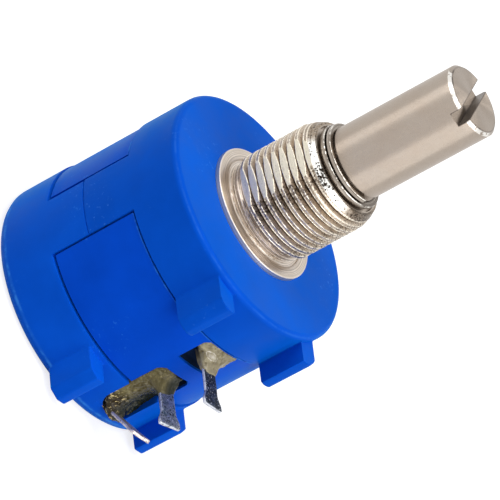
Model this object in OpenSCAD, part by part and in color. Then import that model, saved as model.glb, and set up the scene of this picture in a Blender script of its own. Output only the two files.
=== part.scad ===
// Multiturn wirewound potentiometer: two moulded end shells around a coil housing, a threaded
// bushing, three solder lugs and, inside, a ten-turn helical element swept by a sliding wiper.
// The origin is the centre of the bushing flange's front, which seats against a panel.
// +Z runs out along the shaft, and -Y points to the solder lugs.

/* [Body] */
// Diameter of the two end shells
body_d = 22.2; // [20.4:0.1:28]
// Length of the body from its front face to its rear face
body_l = 18.8; // [17.6:0.1:26]
// Thickness of the shells' side wall
shell_wall = 1.0; // [0.8:0.05:1.2]
// Thickness of the shells' end walls
end_wall = 1.6; // [1.4:0.1:2]
// Radius of the front shell's outer edge
front_round = 0.55; // [0.2:0.05:1]
// Radius of the rear shell's outer edge
rear_round = 1.0; // [0.3:0.05:1.4]

/* [Windows and panels] */
// Length of the front shell's full skirt
front_skirt = 4.95; // [4:0.05:5.2]
// Length of the rear shell's full skirt
rear_skirt = 5.35; // [4.6:0.05:6.2]
// Distance from the front face to the seam where the shells' side tongues meet
seam_depth = 9.6; // [8:0.1:11]
// Half angle of the window on the lug side
lug_window = 77; // [60:1:80]
// Half angle of the window on the far side
far_window = 74; // [60:1:80]
// How far the housing's panels lie below the shells' surface
panel_drop = 0.13; // [0.01:0.01:0.3]
// Gap between a panel and the front shell
front_gap = 0.08; // [0.05:0.01:0.3]
// Gap between a panel and the rear shell
rear_gap = 0.25; // [0.05:0.01:0.4]
// Gap between a panel and a side tongue
side_gap = 0.2; // [0.05:0.01:0.4]

/* [Feet] */
// Clear width between the two feet of a shell
feet_clear = 9.2; // [8:0.1:11]
// Thickness of a foot
foot_t = 1.7; // [1.2:0.1:2.4]
// How far the feet reach below the shells' side
foot_drop = 0.9; // [0.5:0.1:4]
// Length of a foot along the body
foot_l = 4.3; // [3:0.1:4.3]
// Distance from a foot to the end of the body
foot_inset = 0.6; // [0.2:0.1:1]
// Chamfer on the outer corner of a foot
foot_chamfer = 0.75; // [0.3:0.05:1.2]

/* [Bushing] */
// Major diameter of the thread
thread_d = 9.525; // [9:0.025:11.5]
// Length of the bushing in front of the panel seat
bushing_l = 8.35; // [6:0.05:10]
// Diameter of the flange
flange_d = 11.8; // [11.6:0.1:13.4]
// Thickness of the flange
flange_t = 0.45; // [0.3:0.05:1]
// How far the smooth neck lies below the thread's crests
neck_drop = 0.31; // [0.1:0.01:0.5]
// Length of the neck
neck_l = 0.85; // [0.4:0.05:1.5]
// Gap between the thread's crests and the inner edge of the panel seat
seat_clear = 0.1; // [0.05:0.05:0.2]
// Depth of the relief groove between the panel seat and the neck
relief_depth = 0.1; // [0.05:0.05:0.2]
// Length of the chamfer at the bushing's end
end_chamfer = 0.55; // [0.2:0.05:1]
// Width of the ring-shaped face at the bushing's end
end_face_w = 0.3; // [0.1:0.05:0.4]
// Depth of the flat along the thread
flat_depth = 0.37; // [0.1:0.01:0.45]
// Direction that the flat faces, counted from +X
flat_turn = 186; // [0:1:359]
// How far the inner flange stands out from the neck
inner_flange_w = 0.55; // [0.3:0.05:0.7]
// Thickness of the inner flange
inner_flange_t = 0.5; // [0.3:0.05:0.5]

/* [Shaft] */
// Diameter of the shaft
shaft_d = 6.35; // [5:0.05:6.4]
// Length of the shaft in front of the panel seat
shaft_l = 21.1; // [14:0.1:26]
// Chamfer at the shaft's tip
tip_chamfer = 0.27; // [0.1:0.01:0.6]
// Width of the screwdriver slot
slot_w = 1.15; // [0.8:0.05:1.6]
// Depth of the screwdriver slot
slot_depth = 1.05; // [0.6:0.05:2]
// Direction of the slot, counted from +X
slot_turn = 55; // [0:1:179]
// Diameter of the rear journal
journal_d = 4.0; // [3:0.1:4.6]

/* [Rings on the shaft] */
// How far the retaining ring stands out from the shaft
clip_w = 0.475; // [0.3:0.025:0.6]
// Thickness of the retaining ring
clip_t = 0.45; // [0.3:0.05:0.7]
// Depth of the retaining ring's groove
groove_depth = 0.325; // [0.2:0.025:0.5]
// Half angle of the opening in the retaining ring
clip_open = 38; // [20:1:60]
// Direction of the opening in the retaining ring, counted from +X
clip_turn = 318; // [0:1:359]
// How far the thrust washer stands out from the shaft
washer_w = 0.615; // [0.5:0.005:0.7]
// Thickness of the thrust washer
washer_t = 0.9; // [0.5:0.05:1.2]
// How deep the thrust washer is sunk in the bushing's end
washer_sunk = 0.3; // [0.1:0.05:0.45]
// Thickness of the seal ring's cord
cord_t = 0.55; // [0.4:0.05:0.8]
// Distance from the panel seat to the middle of the seal ring
cord_depth = 1.7; // [0.8:0.1:4]
// Thickness of the spring washer behind the bushing
spring_t = 0.3; // [0.2:0.05:0.3]

/* [Element] */
// Number of electrical turns
turns = 10; // [5:1:10]
// Shaft angle from the low end of travel to the pose shown
rest_turn = 1350; // [270:360:1710]
// Thickness of the wound element
coil_d = 0.75; // [0.6:0.05:0.8]
// Wall of the coil housing's tube
tube_wall = 1.05; // [0.95:0.05:1.2]
// Distance from the front wall to the middle of the element's front end
coil_front_inset = 1.15; // [1.15:0.05:2]
// Distance from the rear wall to the middle of the element's rear end
coil_rear_inset = 1.25; // [1.25:0.05:2]

/* [Hub and carriage] */
// Wall of the hub's core around the shaft
hub_wall = 1.1; // [0.8:0.05:1.2]
// Thickness of the hub's ribs and end disc
rib_t = 0.9; // [0.6:0.05:1.2]
// Distance from the hub's core to the floor of its channel
channel_lift = 0.65; // [0.3:0.05:0.8]
// Width of the carriage
carriage_w = 4.2; // [3:0.1:4.6]
// How far the carriage reaches past its follower pins' middles
carriage_lap = 0.15; // [0.1:0.01:0.15]
// Gap between a follower pin and the turns beside it
pin_gap = 0.085; // [0.05:0.005:0.09]
// Gap between the hub and the front wall
hub_front_gap = 0.9; // [0.9:0.05:1]
// Gap between the hub and the rear wall
hub_rear_gap = 1.0; // [1:0.05:1.05]
// Gap between the hub and the element's inner side
hub_coil_gap = 0.55; // [0.45:0.05:1]
// Thickness of the collector strips, the end taps and the wiper springs
strip_t = 0.2; // [0.12:0.01:0.22]
// Width of the end taps
tap_w = 1.1; // [0.6:0.05:1.3]
// Width of the collector brush's leaf
leaf_w = 1.2; // [0.6:0.05:1.4]

/* [Solder lugs] */
// Width of a lug's blade
lug_w = 1.45; // [1.2:0.05:1.8]
// Thickness of a lug
lug_t = 0.3; // [0.2:0.05:0.4]
// Width of a lug's head
lug_head_w = 2.15; // [1.9:0.05:2.6]
// Height of a lug's head
lug_head_h = 0.7; // [0.4:0.05:1]
// Distance of the straight lugs' middle from the shaft's plane
lug_x = 0.1; // [-0.2:0.05:0.2]
// Length of the front lug beyond the shells' side
front_lug_l = 4.55; // [3:0.05:8]
// Length of the middle lug beyond the shells' side
middle_lug_l = 4.2; // [3:0.05:8]
// Length of the rear lug past its bend
rear_lug_l = 4.15; // [3:0.05:8]
// Distance from the body's front face to the front lug
front_lug_depth = 6.8; // [6.6:0.05:7.2]
// Distance from the body's front face to the middle lug
middle_lug_depth = 11.2; // [10.6:0.05:11.4]
// Distance from the body's rear face to the back of the rear lug
rear_lug_inset = 1.9; // [1.85:0.01:2]
// Turn of the middle lug about its own length
middle_lug_turn = 12; // [0:1:15]
// Outer radius of the rear lug's bend
rear_bend_r = 1.9; // [1.2:0.1:2.4]
// Angle of the rear lug's bend
rear_bend = 34; // [1:1:45]
// Distance from the shells' side inwards to the start of the bend
rear_bend_inset = 0.5; // [0.2:0.05:0.8]

/* [Sealant] */
// Half width of the sealed pockets
pocket_half_w = 1.85; // [1.4:0.05:2.2]
// Length of pocket in front of and behind the front lug
pocket_margin = 1.6; // [1.2:0.05:1.7]
// Length of pocket in front of the middle lug
middle_margin = 1.25; // [0.8:0.05:1.4]
// Radius of the sealant's collar at the rear lug
rear_collar_r = 1.1; // [0.9:0.05:1.4]
// How far the sealant stands above the panels
sealant_rise = 0.18; // [0.01:0.01:0.4]
// How far the sealant climbs up each lug from the panels
sealant_climb = 1.2; // [0.4:0.05:1.6]

/* [Fits] */
// Radial clearance of everything that turns or slides
run_gap = 0.04; // [0.02:0.01:0.06]
// Clearance between pieces that are assembled and stay put
seat_gap = 0.05; // [0.02:0.01:0.08]
// Clearance between the moving contacts and what they sweep
brush_gap = 0.09; // [0.06:0.01:0.12]

/* [Hidden] */
$fn = 96;
TINY = 0.01;        // how far a cut runs past a face
FAR = 40;           // a length past every face of the part
COIL_SIDES = 8;     // sides of the element's section
COIL_STEP = 10;     // degrees between two sections of the element
WEDGE_STEPS = 8;    // straight stretches in the far side of a wedge

// Shells
shell_r = body_d / 2;
cavity_r = shell_r - shell_wall;
front_z = -flange_t;
rear_z = front_z - body_l;
inner_front = front_z - end_wall;
inner_rear = rear_z + end_wall;
seam_z = front_z - seam_depth;
window_front = front_z - front_skirt;
window_rear = rear_z + rear_skirt;

// Coil housing and element, which runs half a turn past each end of the travel to its tap
tube_r = cavity_r - seat_gap;
panel_r = shell_r - panel_drop;
bore_r = tube_r - tube_wall;
coil_r = bore_r - run_gap - coil_d / 2;
coil_inner_r = coil_r - coil_d / 2;
contact_r = coil_inner_r - brush_gap;
coil_front = inner_front - coil_front_inset;
coil_rear = inner_rear + coil_rear_inset;
coil_angle = 360 * (turns + 1);
coil_start = -rest_turn - 180;
pitch = 360 * (coil_front - coil_rear) / coil_angle;
rest_z = coil_rear - pitch * coil_start / 360;

// Bushing, shaft and rings
thread_r = thread_d / 2;
neck_r = thread_r - neck_drop;
seat_r = thread_r + seat_clear;
shaft_r = shaft_d / 2;
journal_r = journal_d / 2;
bearing_r = journal_r + 1;
bearing_rear = rear_z + 0.5;
washer_r = shaft_r + washer_w;
counterbore_r = washer_r + 0.1;
washer_z = bushing_l - washer_sunk;
clip_z = washer_z + washer_t + seat_gap;
groove_front = clip_z + clip_t + 2 * seat_gap;
cord_groove_r = shaft_r - cord_t;
cord_groove_w = cord_t + 2 * seat_gap;

// Hub, carriage and contacts
hub_front = inner_front - hub_front_gap;
hub_rear = inner_rear + hub_rear_gap;
hub_r = coil_inner_r - hub_coil_gap;
hub_core_r = shaft_r + hub_wall;
channel_r = hub_core_r + channel_lift;
channel_half = carriage_w / 2 + run_gap;
rail_half = channel_half - 0.4;
rail_top = channel_r + strip_t;
ring_inner = hub_core_r - 0.4;
ring_outer = rail_top + 0.2;
carriage_l = pitch + 2 * carriage_lap;
carriage_low = rail_top + brush_gap / 2 + strip_t;
carriage_top = contact_r - strip_t - 0.1;
pin_d = pitch - coil_d - 2 * pin_gap;

// Lugs, taps and pockets
front_lug_z = front_z - front_lug_depth;
middle_lug_z = front_z - middle_lug_depth;
rear_lug_back = rear_z + rear_lug_inset;
tap_outer = bore_r + strip_t + 0.13;
tap_lap = 0.35;
rear_lug_inner = tube_r - tube_wall / 2;
pocket_front = front_lug_z + pocket_margin;
pocket_rear = front_lug_z - pocket_margin;
saddle_front = middle_lug_z + middle_margin;

BLUE = [0.05, 0.26, 0.80];
NICKEL = [0.68, 0.65, 0.60];
TIN = [0.62, 0.63, 0.66];
RESIN = [0.48, 0.45, 0.26];
BRASS = [0.75, 0.60, 0.28];
BLACK = [0.12, 0.12, 0.13];
IVORY = [0.86, 0.83, 0.74];
COPPER = [0.60, 0.36, 0.22];
STEEL = [0.55, 0.55, 0.57];

// ---- shared shapes ----

// A ring between two radii and two heights
module ring(inner, outer, low, high) {
    translate([0, 0, low]) difference() {
        cylinder(r = outer, h = high - low);
        translate([0, 0, -TINY]) cylinder(r = inner, h = high - low + 2 * TINY);
    }
}

// A wedge of space from angle a to angle b about the shaft, between two heights
module wedge(a, b, low, high) {
    rim = [for (i = [0 : WEDGE_STEPS])
        let (angle = a + (b - a) * i / WEDGE_STEPS) FAR * [cos(angle), sin(angle)]];
    translate([0, 0, low]) linear_extrude(high - low) polygon(concat([[0, 0]], rim));
}

// The two sectors that the shells' side tongues fill
module tongue_sectors(low, high) {
    wedge(-90 + lug_window, 90 - far_window, low, high);
    wedge(90 + far_window, 270 - lug_window, low, high);
}

// The two sectors that the housing's panels fill
module window_sectors(low, high) {
    gap_angle = side_gap / shell_r * 180 / PI;
    wedge(-90 - lug_window + gap_angle, -90 + lug_window - gap_angle, low, high);
    wedge(90 - far_window + gap_angle, 90 + far_window - gap_angle, low, high);
}

// Half section of an end cup with a rounded rim: its closed end is at height 0
module cup_section(skirt, round) {
    difference() {
        union() {
            translate([0, -skirt]) square([shell_r, skirt - round]);
            translate([0, -skirt]) square([shell_r - round, skirt]);
            translate([shell_r - round, -round]) circle(r = round);
        }
        translate([0, -skirt - TINY]) square([cavity_r, skirt - end_wall + TINY]);
    }
}

// The pair of feet under a shell, from height low upwards, with the inside left clear
module feet(low) {
    inner = feet_clear / 2;
    outer = inner + foot_t;
    bottom = -shell_r - foot_drop;
    root = -sqrt(pow(shell_r - shell_wall / 2, 2) - outer * outer);
    difference() {
        for (side = [-1, 1]) translate([0, 0, low]) linear_extrude(foot_l)
            polygon([[side * inner, root], [side * outer, root],
                [side * outer, bottom + foot_chamfer],
                [side * (outer - foot_chamfer), bottom], [side * inner, bottom]]);
        translate([0, 0, inner_rear]) cylinder(r = cavity_r, h = inner_front - inner_rear);
    }
}

// A blade with a wide head, lying from y = 0 to y = -length with its back on height 0
module blade(length) {
    translate([-lug_w / 2, -length, 0]) cube([lug_w, length, lug_t]);
    translate([-lug_head_w / 2, -length, 0]) cube([lug_head_w, lug_head_h, lug_t]);
}

module front_lug_shape() {
    translate([lug_x, -tap_outer, front_lug_z - lug_t])
        blade(shell_r + front_lug_l - tap_outer);
}

module middle_lug_shape() {
    translate([lug_x, -tap_outer, middle_lug_z]) rotate([0, -middle_lug_turn, 0])
        translate([0, 0, -lug_t]) blade(shell_r + middle_lug_l - tap_outer);
}

// Points of an arc about the bend's centre, from straight down to the bend's angle
function bend_arc(r, steps = 12) = [for (i = [0 : steps])
    let (angle = rear_bend * i / steps) -r * [cos(angle), sin(angle)]];

// Side outline of the rear lug about its bend's centre: height first, then y
module rear_lug_outline() {
    inner_r = rear_bend_r - lug_t;
    root = shell_r - rear_bend_inset - rear_lug_inner;
    run = rear_lug_l * [sin(rear_bend), -cos(rear_bend)];
    outer_arc = bend_arc(rear_bend_r);
    inner_arc = bend_arc(inner_r);
    last = len(outer_arc) - 1;
    polygon(concat([[-rear_bend_r, root]], outer_arc, [outer_arc[last] + run, inner_arc[last] + run],
        [for (i = [last : -1 : 0]) inner_arc[i]], [[-inner_r, root]]));
}

// The rear lug leaves the tube's end square and then bends forward
module rear_lug_shape() {
    translate([0, -shell_r + rear_bend_inset, rear_lug_back + rear_bend_r]) difference() {
        rotate([0, -90, 0]) linear_extrude(lug_head_w, center = true) rear_lug_outline();
        for (side = [-1, 1]) rotate([-rear_bend, 0, 0])
            translate([side * (FAR + lug_w) / 2, FAR / 2 - rear_lug_l + lug_head_h, 0])
                cube(FAR, center = true);
    }
}

// A pocket's room between two heights: its floor is the tube, and it ends at radius top
module pocket_space(low, high, top) {
    intersection() {
        translate([-pocket_half_w, -FAR, low]) cube([2 * pocket_half_w, FAR, high - low]);
        ring(tube_r, top, low - 1, high + 1);
    }
}

// Sealant drawn up around a lug's root
module sealant_collar(z, base_r) {
    translate([lug_x, -tube_r, z]) rotate([90, 0, 0])
        cylinder(r1 = base_r, r2 = lug_w / 2 + 0.1, h = panel_r - tube_r + sealant_climb);
}

// A groove along the tube's bore in which an end tap lies
module tap_groove(low, high) {
    translate([lug_x - tap_w / 2 - seat_gap, -tap_outer, low])
        cube([tap_w + 2 * seat_gap, tap_outer / 2, high - low]);
}

// A strip from a lug to one end of the element, with a foot that reaches the element
module end_tap(lug_z, end_z) {
    low = min(lug_z, end_z) - tap_lap;
    high = max(lug_z, end_z) + tap_lap;
    translate([lug_x - tap_w / 2, -tap_outer, low]) cube([tap_w, strip_t, high - low]);
    translate([lug_x - tap_w / 2, -tap_outer, end_z - tap_lap])
        cube([tap_w, tap_outer - bore_r, 2 * tap_lap]);
}

// A block of the carriage's width between two radii, at its pose
module carriage_block(inner, outer, half_w, half_l) {
    intersection() {
        translate([0, -half_w, rest_z - half_l]) cube([FAR, 2 * half_w, 2 * half_l]);
        ring(inner, outer, rest_z - half_l - 1, rest_z + half_l + 1);
    }
}

// ---- fixed pieces ----

module front_shell() color(BLUE) difference() {
    union() {
        translate([0, 0, front_z]) rotate_extrude() cup_section(front_skirt, front_round);
        intersection() {
            ring(cavity_r, shell_r, seam_z + seat_gap / 2, window_front + 1);
            tongue_sectors(seam_z, window_front + 2);
        }
        feet(front_z - foot_inset - foot_l);
    }
    translate([0, 0, inner_front - TINY]) cylinder(r = neck_r, h = end_wall + 2 * TINY);
}

module rear_shell() color(BLUE) difference() {
    union() {
        translate([0, 0, rear_z]) mirror([0, 0, 1]) rotate_extrude()
            cup_section(rear_skirt, rear_round);
        intersection() {
            ring(cavity_r, shell_r, window_rear - 1, seam_z - seat_gap / 2);
            tongue_sectors(window_rear - 2, seam_z);
        }
        feet(rear_z + foot_inset);
    }
    translate([0, 0, bearing_rear]) cylinder(r = bearing_r, h = inner_rear - bearing_rear + TINY);
    translate([-pocket_half_w, -FAR, rear_lug_back])
        cube([2 * pocket_half_w, FAR - bore_r, window_rear - rear_lug_back + TINY]);
}

module coil_housing() color(BLUE) difference() {
    union() {
        ring(bore_r, tube_r, inner_rear + seat_gap, inner_front - seat_gap);
        intersection() {
            ring(tube_r - tube_wall / 2, panel_r, window_rear + rear_gap, window_front - front_gap);
            window_sectors(window_rear, window_front);
        }
    }
    pocket_space(pocket_rear, pocket_front, FAR);
    pocket_space(rear_lug_back, saddle_front, FAR);
    tap_groove(front_lug_z - 2 * tap_lap, inner_front);
    tap_groove(inner_rear, middle_lug_z + 2 * tap_lap);
    front_lug_shape();
    middle_lug_shape();
    translate([-lug_w / 2 - seat_gap, -FAR, inner_rear])
        cube([lug_w + 2 * seat_gap, FAR - bore_r / 2, rear_lug_back + lug_t + seat_gap - inner_rear]);
}

module bushing_section() {
    bore = shaft_r + run_gap;
    inner_flange_r = neck_r + inner_flange_w;
    seat_z = washer_z - seat_gap;
    polygon([[bore, inner_front - inner_flange_t], [inner_flange_r, inner_front - inner_flange_t],
        [inner_flange_r, inner_front], [neck_r, inner_front], [neck_r, front_z],
        [flange_d / 2, front_z], [flange_d / 2, 0], [seat_r, 0], [seat_r, -relief_depth],
        [neck_r, -relief_depth], [neck_r, neck_l],
        [thread_r, neck_l + neck_drop], [thread_r, bushing_l - end_chamfer],
        [counterbore_r + end_face_w, bushing_l], [counterbore_r, bushing_l],
        [counterbore_r, seat_z], [bore, seat_z]]);
}

// The flat keeps the bushing from turning in a panel hole of the same outline
module bushing() color(NICKEL) difference() {
    rotate_extrude() bushing_section();
    rotate(flat_turn) translate([thread_r - flat_depth, -FAR / 2, neck_l]) cube(FAR);
}

// A round core wound with fine wire and bent into a helix against the tube's bore
module resistance_element() color(COPPER) {
    last = ceil(coil_angle / COIL_STEP);
    points = [for (i = [0 : last], j = [0 : COIL_SIDES - 1])
        let (turn = coil_start + coil_angle * i / last, a = 360 * j / COIL_SIDES,
            r = coil_r + coil_d / 2 * cos(a))
        [r * cos(turn), r * sin(turn), rest_z + pitch * turn / 360 + coil_d / 2 * sin(a)]];
    sides = [for (i = [0 : last - 1], j = [0 : COIL_SIDES - 1])
        let (a = i * COIL_SIDES + j, b = i * COIL_SIDES + (j + 1) % COIL_SIDES)
        each [[a, a + COIL_SIDES, b], [b, a + COIL_SIDES, b + COIL_SIDES]]];
    start_cap = [for (j = [0 : COIL_SIDES - 1]) j];
    end_cap = [for (j = [COIL_SIDES - 1 : -1 : 0]) last * COIL_SIDES + j];
    polyhedron(points, concat(sides, [start_cap, end_cap]));
}

module front_tap() color(BRASS) end_tap(front_lug_z, coil_front);
module rear_tap() color(BRASS) end_tap(middle_lug_z, coil_rear);
module front_lug() color(TIN) front_lug_shape();
module middle_lug() color(TIN) middle_lug_shape();
module rear_lug() color(TIN) rear_lug_shape();

module front_sealant() color(RESIN) difference() {
    union() {
        pocket_space(pocket_rear, pocket_front, panel_r + sealant_rise);
        sealant_collar(front_lug_z, pocket_margin);
    }
    front_lug_shape();
    cylinder(r = tube_r, h = 2 * FAR, center = true);
}

module rear_sealant() color(RESIN) difference() {
    union() {
        pocket_space(rear_lug_back, saddle_front, panel_r + sealant_rise);
        sealant_collar(middle_lug_z, middle_margin);
        sealant_collar(rear_lug_back + rear_collar_r, rear_collar_r);
    }
    middle_lug_shape();
    rear_lug_shape();
    cylinder(r = tube_r, h = 2 * FAR, center = true);
}

// A leaf spring from the rear lug to the slip ring, with a round contact on it
module collector_brush() color(BRASS) {
    contact_d = 1.0;
    middle_r = (ring_inner + ring_outer) / 2;
    tip_r = middle_r - contact_d;
    top = hub_rear - strip_t - brush_gap / 2;
    translate([-leaf_w / 2, -rear_lug_inner, rear_lug_back])
        cube([leaf_w, rear_lug_inner - tip_r, strip_t]);
    translate([0, -middle_r, rear_lug_back]) cylinder(d = contact_d, h = top - rear_lug_back);
}

module rear_bearing() color(BRASS)
    ring(journal_r + run_gap, bearing_r, bearing_rear, inner_rear);

// ---- pieces that turn with the shaft ----

module shaft() color(NICKEL) difference() {
    rotate_extrude() polygon([[0, bearing_rear + seat_gap], [journal_r, bearing_rear + seat_gap],
        [journal_r, hub_rear], [shaft_r, hub_rear],
        [shaft_r, cord_depth - cord_groove_w / 2], [cord_groove_r, cord_depth - cord_groove_w / 2],
        [cord_groove_r, cord_depth + cord_groove_w / 2], [shaft_r, cord_depth + cord_groove_w / 2],
        [shaft_r, washer_z + washer_t], [shaft_r - groove_depth, washer_z + washer_t],
        [shaft_r - groove_depth, groove_front], [shaft_r, groove_front],
        [shaft_r, shaft_l - tip_chamfer], [shaft_r - tip_chamfer, shaft_l], [0, shaft_l]]);
    rotate(slot_turn) translate([-FAR / 2, -slot_w / 2, shaft_l - slot_depth])
        cube([FAR, slot_w, FAR]);
}

module retaining_ring() color(NICKEL) difference() {
    ring(shaft_r - groove_depth + seat_gap / 2, shaft_r + clip_w, clip_z, clip_z + clip_t);
    wedge(clip_turn - clip_open, clip_turn + clip_open, clip_z - 1, clip_z + clip_t + 1);
}

module thrust_washer() color(NICKEL)
    ring(shaft_r + seat_gap / 2, washer_r, washer_z, washer_z + washer_t);

module shaft_seal() color(BLACK) rotate_extrude()
    translate([shaft_r - cord_t / 2 + run_gap / 2, cord_depth]) circle(d = cord_t);

module spring_washer() color(STEEL)
    ring(shaft_r + seat_gap, neck_r + inner_flange_w / 2, hub_front, hub_front + spring_t);

// A moulded drum of ribs around a core, with a channel that guides the carriage
module rotor_hub() color(BLACK) difference() {
    union() {
        ring(shaft_r, hub_core_r, hub_rear, hub_front);
        ring(shaft_r, hub_r, hub_rear, hub_rear + rib_t);
        intersection() {
            ring(shaft_r, hub_r, hub_rear, hub_front);
            translate([0, 0, hub_rear]) linear_extrude(hub_front - hub_rear) union() {
                translate([0, -channel_half - rib_t]) square([FAR, 2 * (channel_half + rib_t)]);
                translate([-FAR, -rib_t]) square([FAR, 2 * rib_t]);
                translate([-rib_t / 2, -FAR]) square([rib_t, 2 * FAR]);
            }
        }
    }
    translate([channel_r, -channel_half, hub_rear - 1])
        cube([FAR, 2 * channel_half, hub_front - hub_rear + 2]);
}

module slip_ring() color(BRASS) ring(ring_inner, ring_outer, hub_rear - strip_t, hub_rear);

module collector_rail() color(BRASS) translate([channel_r, -rail_half, hub_rear])
    cube([strip_t, 2 * rail_half, hub_front - hub_rear]);

// ---- pieces that travel along the hub ----

// The carriage's follower pins run between the element's turns, one on each side of its turn
module wiper_carriage() color(IVORY) {
    intersection() {
        translate([carriage_low, -carriage_w / 2, rest_z - carriage_l / 2])
            cube([FAR, carriage_w, carriage_l]);
        cylinder(r = carriage_top, h = 4 * FAR, center = true);
    }
    for (side = [-1, 1])
        translate([carriage_low + 1, 0, rest_z + side * pitch / 2]) rotate([0, 90, 0])
            cylinder(d = pin_d, h = coil_r - carriage_low - 1);
}

// A curved spring on the carriage with a raised contact for the element
module wiper_contact() color(BRASS) {
    carriage_block(carriage_top, contact_r - 0.1, 1.5, 0.2);
    carriage_block(carriage_top, contact_r, 0.45, 0.15);
}

// A spring under the carriage that sweeps the collector rail
module rail_contact() color(BRASS) {
    half_w = 0.8;
    half_l = 0.5;
    translate([carriage_low - strip_t, -half_w, rest_z - half_l])
        cube([strip_t, 2 * half_w, 2 * half_l]);
}

front_shell();
rear_shell();
coil_housing();
bushing();
resistance_element();
front_tap();
rear_tap();
front_lug();
middle_lug();
rear_lug();
front_sealant();
rear_sealant();
collector_brush();
rear_bearing();
shaft();
retaining_ring();
thrust_washer();
shaft_seal();
spring_washer();
rotor_hub();
slip_ring();
collector_rail();
wiper_carriage();
wiper_contact();
rail_contact();
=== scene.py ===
"""Looks of a multiturn potentiometer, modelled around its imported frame.

Every form grows in millimetres on the frame's own axes and is brought to metres when it is finished.
The shaft points along +Z, the solder lugs point along -Y, and turns are counted from -Y towards +X.
"""

from __future__ import annotations

import logging
import math
from dataclasses import dataclass
from enum import Enum
from functools import cache, partial
from typing import Callable, ClassVar, Iterable

import bmesh
import bpy
from bmesh.types import BMEdge, BMFace, BMVert
from bpy.types import Material, Node, NodeTree, Object
from bpy.types import NodeSocket as Socket
from mathutils import Matrix, Vector, noise

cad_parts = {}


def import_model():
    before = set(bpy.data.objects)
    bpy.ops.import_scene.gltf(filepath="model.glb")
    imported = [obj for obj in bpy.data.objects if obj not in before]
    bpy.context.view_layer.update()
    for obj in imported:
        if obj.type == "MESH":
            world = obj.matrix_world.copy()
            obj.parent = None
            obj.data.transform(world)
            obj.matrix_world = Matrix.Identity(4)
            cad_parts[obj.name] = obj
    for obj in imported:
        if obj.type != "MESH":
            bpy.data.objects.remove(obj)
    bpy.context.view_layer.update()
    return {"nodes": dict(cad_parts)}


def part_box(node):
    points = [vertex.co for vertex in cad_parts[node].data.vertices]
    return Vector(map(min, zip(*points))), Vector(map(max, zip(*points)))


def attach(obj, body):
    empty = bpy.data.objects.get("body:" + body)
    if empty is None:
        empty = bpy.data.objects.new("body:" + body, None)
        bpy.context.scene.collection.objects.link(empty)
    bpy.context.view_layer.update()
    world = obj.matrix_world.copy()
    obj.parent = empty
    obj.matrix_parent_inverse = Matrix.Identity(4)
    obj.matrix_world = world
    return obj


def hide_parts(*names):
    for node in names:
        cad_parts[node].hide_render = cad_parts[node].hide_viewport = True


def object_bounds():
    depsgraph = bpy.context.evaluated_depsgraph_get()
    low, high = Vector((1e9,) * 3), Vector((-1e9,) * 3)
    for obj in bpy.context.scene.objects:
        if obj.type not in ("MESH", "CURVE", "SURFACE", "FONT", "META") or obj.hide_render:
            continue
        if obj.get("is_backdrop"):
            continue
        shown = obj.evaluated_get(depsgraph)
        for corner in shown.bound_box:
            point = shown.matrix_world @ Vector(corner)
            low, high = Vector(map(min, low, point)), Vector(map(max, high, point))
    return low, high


LOG = logging.getLogger("potentiometer")
MM = 0.001
WELD = 1e-4

Colour = tuple[float, float, float]
Pair = tuple[float, float]
Outline = list[Pair]
Test = Callable[[Vector], bool]


class Body(Enum):
    """The bodies that new pieces ride on."""

    HOUSING = "housing"
    ROTOR = "rotor"


class Slot(Enum):
    """The record's material slots; the builders pass one with each new piece, but nothing reads it."""

    PLASTIC = "blue_plastic"
    BUSHING = "bushing_nickel"
    SHAFT = "shaft_nickel"
    RING = "ring_steel"
    LUG = "tinned_lug"
    RESIN = "resin"


# ---- shared helpers ----


def box_mm(node: str) -> tuple[Vector, Vector]:
    """Lowest and highest corners of a CAD node, in millimetres."""
    low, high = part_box(node)
    return low / MM, high / MM


def metres(*lengths: float) -> tuple[float, ...]:
    """Millimetres as metres, which the shaders read."""
    return tuple(length * MM for length in lengths)


def radius_of(point: Vector) -> float:
    """Distance of a point from the shaft's axis."""
    return math.hypot(point.x, point.y)


def turn_of(point: Vector) -> float:
    """Angle of a point about the shaft, in degrees from -Y towards +X."""
    return math.degrees(math.atan2(point.x, -point.y))


def turn_at(x: float, radius: float) -> float:
    """Angle from -Y, in degrees, at which a circle about the shaft has an x."""
    return math.degrees(math.asin(x / radius))


def mirrored(stops: list[float]) -> list[float]:
    """A full circle's rising angles from the ones on its +X half."""
    return [0.0, *stops, *[360.0 - stop for stop in reversed(stops)], 360.0]


def place(point: Vector, radius: float, turn: float) -> None:
    """Moves a point to a radius and an angle from -Y, at the height it has."""
    angle = math.radians(turn)
    point.x = radius * math.sin(angle)
    point.y = -radius * math.cos(angle)


def lay(point: Vector, radius: float) -> None:
    """Moves a point to a radius on the -Y side, at the x and height it has."""
    point.y = -math.sqrt(max(0.0, radius * radius - point.x * point.x))


def arc(centre: Pair, radius: float, start: float, end: float, steps: int) -> Outline:
    """Points of an arc in an outline, from one angle in degrees to another."""
    points = []
    for step in range(steps + 1):
        angle = math.radians(start + (end - start) * step / steps)
        points.append((centre[0] + radius * math.cos(angle), centre[1] + radius * math.sin(angle)))
    return points


def clamped(value: float) -> float:
    """A value kept between 0 and 1."""
    return min(1.0, max(0.0, value))


def ramp(value: float, low: float, high: float) -> float:
    """A smooth step from 0 at low to 1 at high."""
    t = clamped((value - low) / (high - low))
    return t * t * (3.0 - 2.0 * t)


def put(name: str, data: bpy.types.ID) -> Object:
    """Makes an object of a mesh, a lamp or a camera and links it to the scene."""
    item = bpy.data.objects.new(name, data)
    bpy.context.scene.collection.objects.link(item)
    return item


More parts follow.
